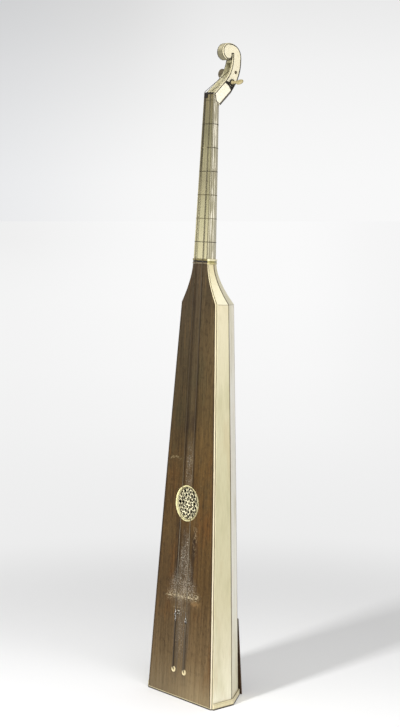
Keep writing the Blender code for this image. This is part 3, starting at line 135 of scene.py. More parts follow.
class Finish:
    """A new material with its node tree, and one method that adds any node."""

    def __init__(self, name, **shader):
        self.material = bpy.data.materials.new(name)
        self.material.use_nodes = True
        self.tree = self.material.node_tree
        self.shader = self.tree.nodes["Principled BSDF"]
        for socket, value in shader.items():
            self.shader.inputs[socket.replace("_", " ")].default_value = value

    def plug(self, socket, value):
        """Set a socket to a value, or link it to an amount."""
        if isinstance(value, Amount):
            self.tree.links.new(value.socket, socket)
        elif isinstance(value, Vector):
            socket.default_value = tuple(value)
        else:
            socket.default_value = value

    def add(self, kind, settings=None, sockets=None, output=0):
        """Add a node, set it up, fill its sockets and return one output."""
        made = self.tree.nodes.new(kind)
        for name, value in (settings or {}).items():
            if name == "stops":
                self.set_stops(made.color_ramp, value)
            else:
                setattr(made, name, value)
        for key, value in (sockets or {}).items():
            self.plug(made.inputs[key], value)
        return Amount(self, made.outputs[output])

    def set_stops(self, ramp, stops):
        """Give a colour ramp its stops."""
        while len(ramp.elements) < len(stops):
            ramp.elements.new(0.5)
        for element, (place, colour) in zip(ramp.elements, stops):
            element.position = place
            element.color = colour

    def place(self):
        """Place on the piece, with z along the board, y back from its face and x across it."""
        object_place = self.add("ShaderNodeTexCoord", output="Object")
        back = (0.0, -FACE_Y * math.cos(LEAN), -FACE_Y * math.sin(LEAN))
        turn = (LEAN, 0.0, 0.0)
        return self.add("ShaderNodeMapping", {"vector_type": "POINT"},
                        {"Vector": object_place, "Location": back, "Rotation": turn})

    def own_place(self):
        """Place on the piece in the object's own frame."""
        return self.add("ShaderNodeTexCoord", output="Object")

    def facing(self, direction):
        """How squarely the surface faces a direction: 1 when it does."""
        normal = self.add("ShaderNodeTexCoord", output="Normal")
        return self.add("ShaderNodeVectorMath", {"operation": "DOT_PRODUCT"}, {0: normal, 1: direction},
                        output="Value")

    def parts(self, place):
        """The three coordinates of a place."""
        made = self.tree.nodes.new("ShaderNodeSeparateXYZ")
        self.plug(made.inputs[0], place)
        return [Amount(self, output) for output in made.outputs]

    def stretched(self, place, scale):
        """A place with each of its coordinates multiplied."""
        return self.add("ShaderNodeVectorMath", {"operation": "MULTIPLY"}, {0: place, 1: scale})

    def noise(self, place, scale, detail=3.0, rough=0.55, distort=0.0):
        """Cloudy noise, with its own number of cells a metre along each coordinate."""
        return self.add("ShaderNodeTexNoise", {},
                        {"Vector": self.stretched(place, scale), "Scale": 1.0, "Detail": detail,
                         "Roughness": rough, "Distortion": distort})

    def mix(self, share, first, second, blend="MIX"):
        """Colour between two others."""
        return self.add("ShaderNodeMix", {"data_type": "RGBA", "blend_type": blend},
                        {0: share, 6: first, 7: second}, output=2)

    def ramp(self, share, stops):
        """Colour from a ramp."""
        return self.add("ShaderNodeValToRGB", {"stops": stops}, {0: share})

    def bump(self, height, depth, strength=1.0):
        """Normal from a height; the depth is in metres."""
        return self.add("ShaderNodeBump", {}, {"Height": height, "Distance": depth, "Strength": strength})

    def finished(self, colour, roughness=None, normal=None, metallic=None):
        """Plug the results into the shader and return the material."""
        self.plug(self.shader.inputs["Base Color"], colour)
        if roughness is not None:
            self.plug(self.shader.inputs["Roughness"], roughness)
        if normal is not None:
            self.plug(self.shader.inputs["Normal"], normal)
        if metallic is not None:
            self.plug(self.shader.inputs["Metallic"], metallic)
        return self.material


IVORY_PALE = srgb(236, 229, 203)
IVORY_WARM = srgb(222, 209, 162)
IVORY_DEEP = srgb(190, 172, 118)
SEAM_BROWN = srgb(84, 70, 46)
EBONY_COLOUR = srgb(34, 28, 24)


def ivory_detail(finish, place, colour, strength=1.0):
    """Aged ivory over a base colour: fine grain, green and pink clouds, hairlines. Also its roughness and height."""
    grain = finish.noise(place, (520.0, 520.0, 7.0), 3.0)
    fine = finish.noise(place, (1900.0, 1900.0, 40.0), 1.0)
    cloud = finish.noise(place, (22.0, 22.0, 6.0), 3.0)
    blush = finish.noise(place, (14.0, 30.0, 9.0), 2.0)
    colour = finish.mix(cloud.rise(0.45, 0.75) * 0.30 * strength, colour, srgb(188, 188, 146), "MULTIPLY")
    colour = finish.mix(blush.rise(0.50, 0.75) * 0.22 * strength, colour, srgb(232, 206, 176), "MULTIPLY")
    colour = finish.mix(grain.rise(0.40, 0.75) * 0.20 * strength, colour, srgb(196, 184, 146), "MULTIPLY")
    hairline = finish.noise(place, (260.0, 260.0, 1.7), 1.0)
    crack = hairline.band(0.497, 0.503, 0.0025) * 0.35
    colour = finish.mix(crack, colour, IVORY_DEEP)
    return colour, 0.34 + grain * 0.16, grain * 0.6 + fine * 0.4


def hollow(finish, up):
    """How far the shoulder's hollow curve has come: 0 at the shoulder, 1 at the neck."""
    rest = (1.0 - (up - SHOULDER) / SHOULDER_LENGTH).maths("MINIMUM", 1.0, clamp=True)
    return 1.0 - rest ** SHOULDER_CURVE


def arris_mark(finish, place, from_arris, before=0.0030, after=0.0006):
    """Dark seam that follows an arris and wavers a little."""
    wobble = (finish.noise(place, (0.0, 0.0, 34.0), 2.0) - 0.5) * 0.0014
    breaks = finish.noise(place, (0.0, 0.0, 9.0), 2.0).rise(0.22, 0.48) * 0.25 + 0.75
    return (from_arris + wobble).band(-before, after, 0.0004) * breaks


def rib_finish(name, tones, line=None):
    """Ivory of the ribs in tones from the foot up, with a dark seam along an arris where one is given.

    The seam is given as the depth of the arris at the foot and its change for each metre up.
    """
    finish = Finish(name, Specular_IOR_Level=0.45)
    place = finish.place()
    across, back, up = finish.parts(place)
    colour, rough, height = ivory_detail(finish, place, finish.ramp(up / BOARD_TOP, tones))
    if line:
        mark = arris_mark(finish, place, back - line[0] - up * line[1])
        colour = finish.mix(mark * 0.90, colour, SEAM_BROWN)
    seam = up.band(SHOULDER - 0.0022, SHOULDER, 0.0005) * 0.35
    colour = finish.mix(seam, colour, SEAM_BROWN)
    return finish.finished(colour, rough, finish.bump(height, 0.00006, 0.4))


def shoulder_finish(name, tones, seam_share):
    """Ivory of the shoulder, with a dark seam along its arris to the next rib."""
    finish = Finish(name, Specular_IOR_Level=0.45)
    place = finish.place()
    across, back, up = finish.parts(place)
    colour, rough, height = ivory_detail(finish, place, finish.ramp((up - SHOULDER) / SHOULDER_LENGTH, tones), 0.6)
    arris = 0.0495 - hollow(finish, up) * 0.0262
    mark = arris_mark(finish, place, back - arris, 0.0036, 0.0010)
    colour = finish.mix(mark * seam_share, colour, SEAM_BROWN)
    return finish.finished(colour, rough, finish.bump(height, 0.00006, 0.4))


def edging_finish():
    """Corner edging: dark joint to the board, ivory strip, ebony line, then ivory like the rib's."""
    finish = Finish("edging_ivory", Specular_IOR_Level=0.45)
    place = finish.place()
    across, back, up = finish.parts(place)
    base = finish.ramp(up / BOARD_TOP, [(0.0, srgb(226, 214, 186)), (0.45, srgb(214, 202, 172)),
                                        (0.90, srgb(206, 194, 158)), (1.0, srgb(200, 188, 150))])
    colour, rough, height = ivory_detail(finish, place, base, 0.7)
    depth = back / (0.0058 - hollow(finish, up) * 0.0020)
    wobble = (finish.noise(place, (0.0, 0.0, 30.0), 3.0) - 0.5) * 0.16
    wear = finish.noise(place, (0.0, 0.0, 14.0), 2.0).rise(0.25, 0.50) * 0.30 + 0.68
    line = (depth + wobble).band(0.50, 0.80, 0.06) * wear
    joint = (1.0 - depth.rise(0.03, 0.16)) * (up.rise(0.30, 0.70) * 0.85 + 0.10)
    colour = finish.mix(depth.rise(0.66, 0.86), colour, srgb(214, 206, 168))
    colour = finish.mix(line, colour, srgb(70, 60, 42))
    colour = finish.mix(joint, colour, srgb(74, 58, 38))
    return finish.finished(colour, rough, finish.bump(height, 0.00006, 0.4))


def band_finish(name):
    """Plinth band and foot strip: ivory with dark lines near its upper edge, and a painted shadow along the floor at
    its bottom.
    """
    finish = Finish(name, Specular_IOR_Level=0.45)
    place = finish.place()
    colour, rough, height = ivory_detail(finish, place, srgb(228, 217, 178))
    level = finish.parts(finish.own_place())[2]
    line = level.band(0.0182, 0.0200, 0.0003) * 0.75 + level.band(0.0140, 0.0152, 0.0003) * 0.35
    # Dark strip at the bottom: painted shadow where the band meets the floor.
    line = line + level.band(0.0, 0.0044, 0.0004)
    colour = finish.mix(line.least(1.0) * 0.85, colour, srgb(84, 68, 42))
    return finish.finished(colour, rough, finish.bump(height, 0.00006, 0.4))


def mark_grime(across, up):
    """Grime just above and below each position mark."""
    turns = (up - FIRST_MARK) / MARK_STEP + 0.5
    off = (turns.maths("FRACT") - 0.5).maths("ABSOLUTE") * MARK_STEP
    second = up.band(FIRST_MARK + MARK_STEP - 0.01, FIRST_MARK + MARK_STEP + 0.01, 0.005)
    fifth = up.band(FIRST_MARK + 4 * MARK_STEP - 0.01, FIRST_MARK + 4 * MARK_STEP + 0.01, 0.005)
    worn = fifth * (1.0 - across.rise(0.001, 0.005))
    return (1.0 - off.rise(0.0009, 0.0014)) * (0.70 - second * 0.35) * (1.0 - worn)


def facing_front_finish():
    """Neck's front: yellowed ivory that darkens upwards, with painted shadows of the strings as dark tracks along
    them.
    """
    finish = Finish("facing_front", Specular_IOR_Level=0.45)
    place = finish.place()
    across, back, up = finish.parts(place)
    base = finish.ramp((up - NECK_FOOT) / NECK_LENGTH,
                       [(0.0, srgb(180, 173, 138)), (0.22, srgb(170, 164, 130)), (0.36, srgb(152, 146, 114)),
                        (0.48, srgb(133, 127, 98)), (0.62, srgb(138, 132, 100)), (0.76, srgb(112, 107, 79)),
                        (1.0, srgb(108, 98, 69))])
    colour, rough, height = ivory_detail(finish, place, base, 0.8)
    climb = (up - NECK_FOOT) / NECK_LENGTH
    share = across / (0.0312 - (up - NECK_FOOT) * 0.0227) * 0.5 + 0.5
    waver = (finish.noise(place, (0.0, 0.0, 16.0), 2.0) - 0.5) * 0.03
    share = share + waver
    high = climb.rise(0.42, 0.62)
    # Painted shadow of the left string: a wide band high up and a thin line lower down.
    left_string_shadow_high = share.band(0.050, 0.250, 0.03) * high * 0.90
    left_string_shadow_low = share.band(0.225, 0.275, 0.02) * (1.0 - high) * 0.55
    rim = share.band(0.05, 0.10, 0.02) * (1.0 - climb.rise(0.30, 0.45)) * 0.45
    # Painted shadow of the right string.
    right = share.band(0.675, 0.745, 0.02) * (0.55 - climb * 0.20)
    middle = share.band(0.42, 0.46, 0.02) * high * 0.30
    border = share.rise(0.90, 0.95) * (0.70 - climb * 0.35)
    streak = finish.noise(place, (380.0, 380.0, 2.6), 3.0).rise(0.52, 0.70) * 0.30
    dark = (left_string_shadow_high + left_string_shadow_low + rim + right + middle + border + streak).maths("MINIMUM", 0.9)
    colour = finish.mix(dark.most(mark_grime(across, up)), colour, srgb(58, 51, 32))
    return finish.finished(colour, rough, finish.bump(height, 0.00008, 0.5))


def facing_side_finish():
    """Neck's sides: ivory strips parted by dark lines lengthwise, grimy along the front arris."""
    finish = Finish("facing_side", Specular_IOR_Level=0.45)
    place = finish.place()
    across, back, up = finish.parts(place)
    climb = (up - NECK_FOOT) / NECK_LENGTH
    share = back / (0.0224 - (up - NECK_FOOT) * 0.01432)
    waver = (finish.noise(place, (0.0, 0.0, 22.0), 3.0) - 0.5) * 0.10
    share = share + waver
    base = finish.mix(climb, srgb(180, 174, 148), srgb(160, 153, 130))
    colour, rough, height = ivory_detail(finish, place, base)
    strips = share.band(0.22, 0.50, 0.06) + share.band(0.66, 0.90, 0.05)
    bright = finish.noise(place, (110.0, 110.0, 16.0), 3.0, 0.5, 0.6).rise(0.44, 0.58)
    colour = finish.mix(strips * bright * 0.85, colour, srgb(236, 229, 208))
    lines = share.band(0.17, 0.23, 0.04) + share.band(0.52, 0.60, 0.04) + share.band(0.93, 0.97, 0.02) * 0.6
    lines = lines * (finish.noise(place, (0.0, 0.0, 12.0), 3.0).rise(0.30, 0.52) * 0.7 + 0.30)
    grime = (1.0 - share.rise(0.06, 0.30)) * (climb.rise(0.25, 0.75) * 0.55 + 0.15)
    streak = finish.noise(place, (330.0, 330.0, 3.0), 3.0).rise(0.50, 0.66) * 0.35
    dark = (lines * 0.75 + grime + streak).maths("MINIMUM", 0.9).most(mark_grime(across.maths("ABSOLUTE"), up))
    colour = finish.mix(dark, colour, srgb(84, 77, 56))
    return finish.finished(colour, rough, finish.bump(height, 0.00008, 0.5))


def collar_finish(name, front_colour, side_colour, edge=None):
    """A ring of the collar, which has one colour on the front and another round the sides."""
    finish = Finish(name, Specular_IOR_Level=0.45)
    place = finish.place()
    across, back, up = finish.parts(place)
    front = finish.facing(BOARD_NORMAL).rise(0.80, 0.95)
    colour, rough, height = ivory_detail(finish, place, finish.mix(front, side_colour, front_colour), 0.6)
    if edge:
        line = up.rise(edge - 0.0008, edge - 0.0004) * front
        colour = finish.mix(line * 0.85, colour, SEAM_BROWN)
    return finish.finished(colour, rough, finish.bump(height, 0.00006, 0.4))


def board_finish():
    """Soundboard: dark stained softwood with rosin dust, painted shadows of the strings, painted shade and glints
    round their knots, a bridge scar and worn edges.
    """
    finish = Finish("board_softwood", Specular_IOR_Level=0.10)
    place = finish.place()
    across, back, up = finish.parts(place)
    share = across / (FOOT_HALF - up * 0.0600)
    reed = finish.noise(place, (520.0, 520.0, 9.0), 3.0)
    streak = finish.noise(place, (120.0, 120.0, 3.2), 5.0, 0.65, 0.4)
    colour = stained_wood(finish, place, share, up)
    lines = (streak.rise(0.42, 0.64) * 0.40 + reed.rise(0.40, 0.68) * 0.26) * (up.rise(0.0, 0.30) * 0.5 + 0.5)
    colour = finish.mix(lines, colour, srgb(112, 102, 84), "MULTIPLY")
    light_lines = finish.noise(place, (200.0, 200.0, 7.0), 4.0, 0.65).rise(0.54, 0.70) * 0.26
    colour = finish.mix(light_lines, colour, srgb(134, 104, 60))
    # Painted shadows of the strings on the board, with a smudge and dark patches.
    colour = finish.mix(string_shadows_and_smudges(finish, place, share, up), colour, srgb(38, 28, 20))
    dust = rosin(finish, place, share, up)
    colour = finish.mix(dust, colour, srgb(206, 198, 180))
    colour = bridge_scar(finish, place, share, up, colour)
    colour = small_marks(finish, place, share, up, colour)
    # Painted shadow and white glints round the knots.
    colour = knot_shadows_and_glints(finish, place, across, up, colour)
    edge = share.maths("ABSOLUTE").rise(0.950, 0.985) * 0.55
    colour = finish.mix(edge, colour, srgb(40, 32, 24))
    rough = 0.52 + reed * 0.2 + dust * 0.25
    height = reed * 0.7 + streak * 0.3
    return finish.finished(colour, rough, finish.bump(height, 0.00018, 0.5))


def stained_wood(finish, place, share, up):
    """Stain of the board: olive brown at the top, golden on the right, orange patches low down."""
    left = finish.ramp(up / BOARD_TOP, [(0.0, srgb(119, 104, 79)), (0.10, srgb(100, 82, 56)),
                                        (0.26, srgb(80, 61, 36)), (0.50, srgb(82, 61, 32)),
                                        (0.66, srgb(68, 56, 35)), (0.86, srgb(70, 59, 42)),
                                        (1.0, srgb(70, 57, 44))])
    right = finish.ramp(up / BOARD_TOP, [(0.0, srgb(143, 126, 95)), (0.10, srgb(108, 88, 60)),
                                         (0.26, srgb(84, 63, 34)), (0.50, srgb(92, 68, 34)),
                                         (0.66, srgb(86, 69, 41)), (0.86, srgb(88, 73, 49)),
                                         (1.0, srgb(74, 63, 47))])
    colour = finish.mix(share.rise(-0.5, 0.6), left, right)
    patch = finish.noise(place, (13.0, 13.0, 5.0), 4.0, 0.6)
    low = 1.0 - up.rise(0.66, 0.90)
    sides = share.maths("ABSOLUTE").rise(0.22, 0.55)
    low = low * up.rise(0.02, 0.14)
    colour = finish.mix(patch.rise(0.50, 0.66) * low * sides * 0.62, colour, srgb(102, 68, 32))
    green = finish.noise(place, (17.0, 17.0, 9.0), 3.0).rise(0.50, 0.68) * up.rise(0.35, 0.75)
    colour = finish.mix(green * 0.45, colour, srgb(66, 61, 41))
    mottle = finish.noise(place, (110.0, 110.0, 60.0), 3.0, 0.6)
    mottle = mottle.rise(0.48, 0.66) * (up.rise(0.03, 0.20) * 0.30 + 0.15)
    colour = finish.mix(mottle, colour, srgb(48, 36, 22))
    between = (1.0 - (share + 0.02).maths("ABSOLUTE").rise(0.12, 0.20)) * up.rise(0.60, 0.70)
    colour = finish.mix(between * 0.05, colour, srgb(88, 83, 74))
    speckle = finish.noise(place, (330.0, 330.0, 130.0), 3.0, 0.7)
    colour = finish.mix(speckle.rise(0.54, 0.68) * (0.16 + low * 0.14), colour, srgb(140, 114, 74))
    return colour


def string_shadows_and_smudges(finish, place, share, up):
    """Painted shadows of the strings, along them and beside the left one below the rosette; also a smudge over the
    rosette and dark patches beside the dust.
    """
    wear = finish.noise(place, (40.0, 40.0, 12.0), 3.0)
    # Painted shadows along the strings.
    length = up.band(0.60, 1.25, 0.04)
    left = (share.band(-0.245, -0.175, 0.025) * 0.38 + share.band(-0.226, -0.204, 0.006) * 0.50) * length
    right = (share.band(0.135, 0.205, 0.025) * 0.32 + share.band(0.164, 0.184, 0.006) * 0.45) * length
    smudge = up.band(0.785, 0.835, 0.018) * share.band(-0.42, 0.18, 0.10) * wear.rise(0.36, 0.58) * 0.60
    under = up.band(0.330, 0.500, 0.04) * share.band(-0.30, 0.34, 0.08) * 0.35
    flank = up.band(0.34, 0.50, 0.05) * (share.band(-0.42, -0.24, 0.06) + share.band(0.26, 0.46, 0.07))
    flank = flank * wear.rise(0.40, 0.60) * 0.60
    # Painted shadows of the strings low down, and beside the left string below the rosette.
    low = up.band(0.085, 0.24, 0.01) * (share.band(-0.250, -0.215, 0.012) + share.band(0.085, 0.115, 0.012)) * 0.45
    shadow_left_of_string = share.band(-0.325, -0.285, 0.014) * up.band(0.36, 0.56, 0.03) * 0.65
    return (left + right + smudge + under + flank + low + shadow_left_of_string).least(0.85)


def rosin(finish, place, share, up):
    """White dust under the bow and down to the bridge's old place, speckled and spreading."""
    middle = (share + 0.02).maths("ABSOLUTE")
    above = (1.0 - (middle / 0.18).rise(0.55, 1.0)) * up.band(0.62, 0.745, 0.03) * 0.46
    column = (1.0 - (middle / 0.17).rise(0.6, 1.0)) * up.band(0.74, 1.27, 0.05) * 0.02
    spread = 0.18 + (1.0 - up.rise(0.29, 0.46)) * 0.42
    skirt = (1.0 - (middle / spread).rise(0.38, 1.05)) * up.band(0.300, 0.48, 0.04) * 0.76
    tail = (1.0 - (middle / 0.24).rise(0.4, 1.2)) * up.band(0.14, 0.300, 0.05) * 0.42
    speck = finish.noise(place, (330.0, 330.0, 230.0), 3.0, 0.8)
    cloud = finish.noise(place, (46.0, 46.0, 26.0), 4.0, 0.7)
    grain = speck.rise(0.52, 0.61) * 0.80 + 0.06
    thrown = (share + 0.08).band(-0.42, 0.42, 0.12) * up.band(0.306, 0.350, 0.02) * speck.rise(0.55, 0.61) * 0.50
    amount = (above + column + skirt + tail) * grain * (cloud.rise(0.36, 0.60) * 0.85 + 0.15)
    return (amount + thrown).least(0.78)


def bridge_scar(finish, place, share, up, colour):
    """Pale scratches where the bridge has stood, bare wood under their right end and grey streaks below."""
    rough_edge = finish.noise(place, (90.0, 90.0, 130.0), 4.0, 0.65) - 0.5
    level = up + rough_edge * 0.030
    sloping = level - share * 0.0105 - 0.0015
    flecks = finish.noise(place, (150.0, 150.0, 360.0), 4.0, 0.75)
    grey_below = share.band(-0.30, 0.28, 0.10) * up.band(0.06, 0.29, 0.03)
    streaks = finish.noise(place, (150.0, 150.0, 5.0), 3.0).rise(0.42, 0.60)
    colour = finish.mix(grey_below * streaks * 0.40, colour, srgb(70, 66, 62))
    bare = level.band(0.284, 0.294, 0.006) * (share + rough_edge * 0.3).band(0.28, 0.56, 0.09) * 0.45
    colour = finish.mix(bare, colour, srgb(150, 118, 76))
    across_it = (share + rough_edge * 0.4).band(-0.60, 0.54, 0.08)
    scar = sloping.band(0.2985, 0.3025, 0.0030) * (flecks.rise(0.46, 0.57) * 0.78 + 0.04)
    crumbs = sloping.band(0.2890, 0.3160, 0.0070) * flecks.rise(0.53, 0.60) * 0.62
    colour = finish.mix((scar + crumbs).least(0.85) * across_it, colour, srgb(198, 184, 150))
    lower = level.band(0.262, 0.270, 0.004) * share.band(-0.34, 0.12, 0.08) * flecks.rise(0.50, 0.62)
    return finish.mix(lower * 0.50, colour, srgb(176, 162, 130))


def small_marks(finish, place, share, up, colour):
    """Small pale scratches: a wavering line left of the strings and bare spots on the right."""
    waver = (finish.noise(place, (26.0, 0.0, 0.0), 3.0) - 0.5) * 0.030
    flecks = finish.noise(place, (200.0, 0.0, 200.0), 2.0).rise(0.48, 0.58)
    line = (up + waver).band(0.7010, 0.7060, 0.0020)
    scratch = line * (share.band(-0.88, -0.40, 0.04) + share.band(-0.02, 0.14, 0.02)) * flecks
    colour = finish.mix(scratch * 0.55, colour, srgb(164, 148, 112))
    spots = finish.noise(place, (60.0, 60.0, 46.0), 3.0, 0.6).band(0.50, 0.55, 0.02)
    squiggle = spots * share.band(0.26, 0.40, 0.07) * up.band(0.440, 0.515, 0.025)
    return finish.mix(squiggle * 0.60, colour, srgb(152, 130, 98))


def knot_shadows_and_glints(finish, place, across, up, colour):
    """Painted shadow on the board round each string's knot, with painted white glints in it."""
    flecks = finish.noise(place, (240.0, 240.0, 240.0), 2.0, 0.6)
    for middle, level, reach in ((-0.0200, 0.2525, 0.0105), (0.0180, 0.2335, 0.0080)):
        sideways = across - middle
        above = (up - level) * 0.8
        near = 1.0 - ((sideways * sideways + above * above) ** 0.5 / reach).rise(0.45, 1.0)
        # Painted shadow round the knot, then painted white glints.
        colour = finish.mix(near * (1.0 - flecks.rise(0.46, 0.53)) * 0.90, colour, srgb(14, 12, 12))
        colour = finish.mix(near * flecks.rise(0.55, 0.59) * 0.80, colour, srgb(222, 216, 196))
    return colour


def ebony_finish():
    """Ebony lines and nut."""
    finish = Finish("ebony", Specular_IOR_Level=0.35)
    place = finish.place()
    grain = finish.noise(place, (800.0, 800.0, 30.0), 2.0)
    colour = finish.mix(grain.rise(0.45, 0.70) * 0.4, srgb(26, 21, 17), srgb(50, 41, 32))
    return finish.finished(colour, 0.48 + grain * 0.2, finish.bump(grain, 0.00008, 0.4))


def mark_finish(name, colour, from_across=None):
    """A position mark: its line, and bare ivory left of where a worn one begins."""
    finish = Finish(name, Specular_IOR_Level=0.35)
    place = finish.place()
    across, back, up = finish.parts(place)
    grain = finish.noise(place, (300.0, 300.0, 300.0), 2.0)
    tone = finish.mix(grain.rise(0.40, 0.70) * 0.25, colour, srgb(128, 118, 84))
    if from_across is not None:
        tone = finish.mix(1.0 - across.rise(from_across - 0.002, from_across + 0.002), tone, srgb(140, 132, 100))
    return finish.finished(tone, 0.45 + grain * 0.2, finish.bump(grain, 0.00005, 0.3))


def iron_finish():
    """Blackened iron, pitted and spotted with rust."""
    finish = Finish("iron", Metallic=0.5)
    place = finish.place()
    pits = finish.noise(place, (1300.0, 1300.0, 1300.0), 3.0)
    rust = finish.noise(place, (240.0, 240.0, 240.0), 3.0)
    colour = finish.mix(pits.rise(0.45, 0.7), srgb(24, 21, 19), srgb(54, 47, 40))
    colour = finish.mix(rust.rise(0.56, 0.70) * 0.5, colour, srgb(66, 44, 28))
    return finish.finished(colour, 0.50 + pits * 0.3, finish.bump(pits, 0.00015, 0.6))


def peg_wood_finish():
    """Worn dark wood of the upper peg, with grain along it."""
    finish = Finish("peg_wood", Specular_IOR_Level=0.4)
    place = finish.own_place()
    grain = finish.noise(place, (30.0, 600.0, 600.0), 3.0)
    cloud = finish.noise(place, (120.0, 120.0, 120.0), 2.0)
    colour = finish.mix(grain.rise(0.35, 0.70), srgb(104, 94, 70), srgb(64, 55, 40))
    colour = finish.mix(cloud.rise(0.50, 0.70) * 0.4, colour, srgb(126, 116, 90))
    return finish.finished(colour, 0.40 + grain * 0.2, finish.bump(grain, 0.00012, 0.5))


def flap_finish():
    """Dark stained board of the flap, rubbed lighter low down and reddish at its edges."""
    finish = Finish("flap_wood", Specular_IOR_Level=0.35)
    place = finish.own_place()
    across, back, up = finish.parts(place)
    grain = finish.noise(place, (420.0, 420.0, 6.0), 3.0)
    broad = finish.noise(place, (60.0, 60.0, 3.0), 3.0)
    colour = finish.mix(grain.rise(0.38, 0.66), srgb(78, 56, 36), srgb(40, 27, 18))
    worn = (1.0 - up.rise(0.03, 0.12)) * 0.30 + broad.rise(0.55, 0.75) * 0.25
    colour = finish.mix(worn, colour, srgb(112, 84, 56))
    rim = across.maths("ABSOLUTE").rise(0.086, 0.092) * broad.rise(0.40, 0.55) * 0.45
    colour = finish.mix(rim, colour, srgb(120, 82, 54))
    return finish.finished(colour, 0.5 + grain * 0.2, finish.bump(grain, 0.0002, 0.5))


def inner_wood_finish():
    """Bare pine of the inner work, darkened by age."""
    finish = Finish("inner_wood", Specular_IOR_Level=0.3)
    place = finish.place()
    grain = finish.noise(place, (300.0, 300.0, 5.0), 3.0)
    colour = finish.mix(grain.rise(0.35, 0.7), srgb(158, 124, 84), srgb(108, 78, 48))
    return finish.finished(colour, 0.62 + grain * 0.2, finish.bump(grain, 0.0002, 0.5))


def gut_finish():
    """Twisted gut: brown over the board, with a paler stretch low down that is a painted highlight, paler along the
    neck, and black knots with painted white glints.
    """
    finish = Finish("gut", Specular_IOR_Level=0.2)
    place = finish.place()
    across, back, up = finish.parts(place)
    twist = finish.noise(place, (900.0, 900.0, 500.0), 2.0)
    # The paler stretch of the ramp, low over the board, is a painted highlight.
    base = finish.ramp(up / 1.8, [(0.0, srgb(62, 54, 46)), (0.10, srgb(58, 50, 42)), (0.16, srgb(104, 94, 76)),
                                  (0.23, srgb(134, 124, 104)), (0.31, srgb(120, 108, 86)),
                                  (0.42, srgb(84, 70, 50)), (0.60, srgb(60, 50, 38)), (0.74, srgb(74, 66, 46)),
                                  (0.95, srgb(84, 76, 52)), (0.985, srgb(44, 37, 24))])
    colour = finish.mix(twist.rise(0.35, 0.65) * 0.5, base, srgb(58, 50, 40))
    tail = across.rise(-0.012, -0.008) * (1.0 - up.rise(0.224, 0.228)) * up.rise(0.06, 0.075)
    colour = finish.mix(tail * 0.55, colour, srgb(112, 100, 80))
    knots = up.band(0.226, 0.258, 0.002)
    flecks = finish.noise(place, (260.0, 260.0, 260.0), 1.0)
    colour = finish.mix(knots, colour, srgb(12, 11, 13))
    # Painted white glints on the black knots.
    colour = finish.mix(knots * flecks.rise(0.53, 0.55), colour, srgb(250, 247, 238))
    return finish.finished(colour, 0.42 + twist * 0.2, finish.bump(twist, 0.0002, 0.5))


def carved_finish(name, base, patina=0.0):
    """Ivory of the small turned and carved pieces, with an olive patina where hands have been."""
    finish = Finish(name, Specular_IOR_Level=0.45)
    place = finish.own_place()
    grain = finish.noise(place, (420.0, 420.0, 160.0), 2.0)
    cloud = finish.noise(place, (60.0, 60.0, 60.0), 3.0)
    colour = finish.mix(grain.rise(0.40, 0.70) * 0.25, base, srgb(206, 194, 152), "MULTIPLY")
    colour = finish.mix(cloud.rise(0.40, 0.66) * patina, colour, srgb(168, 158, 116))
    return finish.finished(colour, 0.36 + grain * 0.2, finish.bump(grain, 0.00006, 0.4))


def stem_edges(back, up):
    """Distances in from the stem's back edge and from its front edge."""
    over = back - STEM_FOOT[0]
    above = up - STEM_FOOT[1]
    along = (over + above) * SLANT
    straight = (over - above) * SLANT
    turn = (back - BEND_CENTRE[0]) * (back - BEND_CENTRE[0]) + (up - BEND_CENTRE[1]) * (up - BEND_CENTRE[1])
    bent = turn ** 0.5 - STEM_BEND
    in_bend = along.rise(STEM_STRAIGHT - 0.0002, STEM_STRAIGHT + 0.0002)
    off = straight * (1.0 - in_bend) + bent * in_bend
    half = STEM_HALF - (along - STEM_STRAIGHT).most(0.0) * 0.0297
    return half - off, half + off


def cheek_finish():
    """Ivory cheeks of the head, with dark edges beside their border, and painted shade on the bevel that is darkest
    where it faces back.
    """
    finish = Finish("cheek_ivory", Specular_IOR_Level=0.45)
    place = finish.place()
    across, back, up = finish.parts(place)
    grain = finish.noise(place, (420.0, 420.0, 160.0), 2.0)
    cloud = finish.noise(place, (60.0, 60.0, 60.0), 3.0)
    base = finish.mix(up.rise(1.765, 1.830), srgb(240, 234, 214), srgb(222, 214, 187))
    colour = finish.mix(grain.rise(0.40, 0.70) * 0.25, base, srgb(206, 194, 152), "MULTIPLY")
    colour = finish.mix(cloud.rise(0.44, 0.66) * 0.14, colour, srgb(168, 158, 116))
    sideways = finish.facing((1.0, 0.0, 0.0)).maths("ABSOLUTE")
    bevel = sideways.band(0.25, 0.97, 0.01)
    behind = finish.facing((0.0, 0.86, -0.5)).rise(0.05, 0.20)
    # Painted shade on the bevel, darkest where it faces back.
    colour = finish.mix(bevel * 0.75, colour, srgb(180, 170, 134))
    colour = finish.mix(bevel * behind * 0.9, colour, srgb(52, 43, 30))
    from_back, from_front = stem_edges(back, up)
    line = (1.0 - from_back.rise(0.0058, 0.0062)).most(1.0 - from_front.rise(0.0042, 0.0046))
    line = line * sideways.rise(0.97, 0.99) * (1.0 - up.rise(1.860, 1.868))
    colour = finish.mix(line * 0.9, colour, srgb(40, 33, 24))
    return finish.finished(colour, 0.36 + grain * 0.2, finish.bump(grain, 0.00006, 0.4))


def from_rosette(finish, across, up):
    """Distance from the middle of the rosette."""
    sideways = across - ROSETTE_ACROSS
    above = up - ROSETTE_UP
    return (sideways * sideways + above * above) ** 0.5


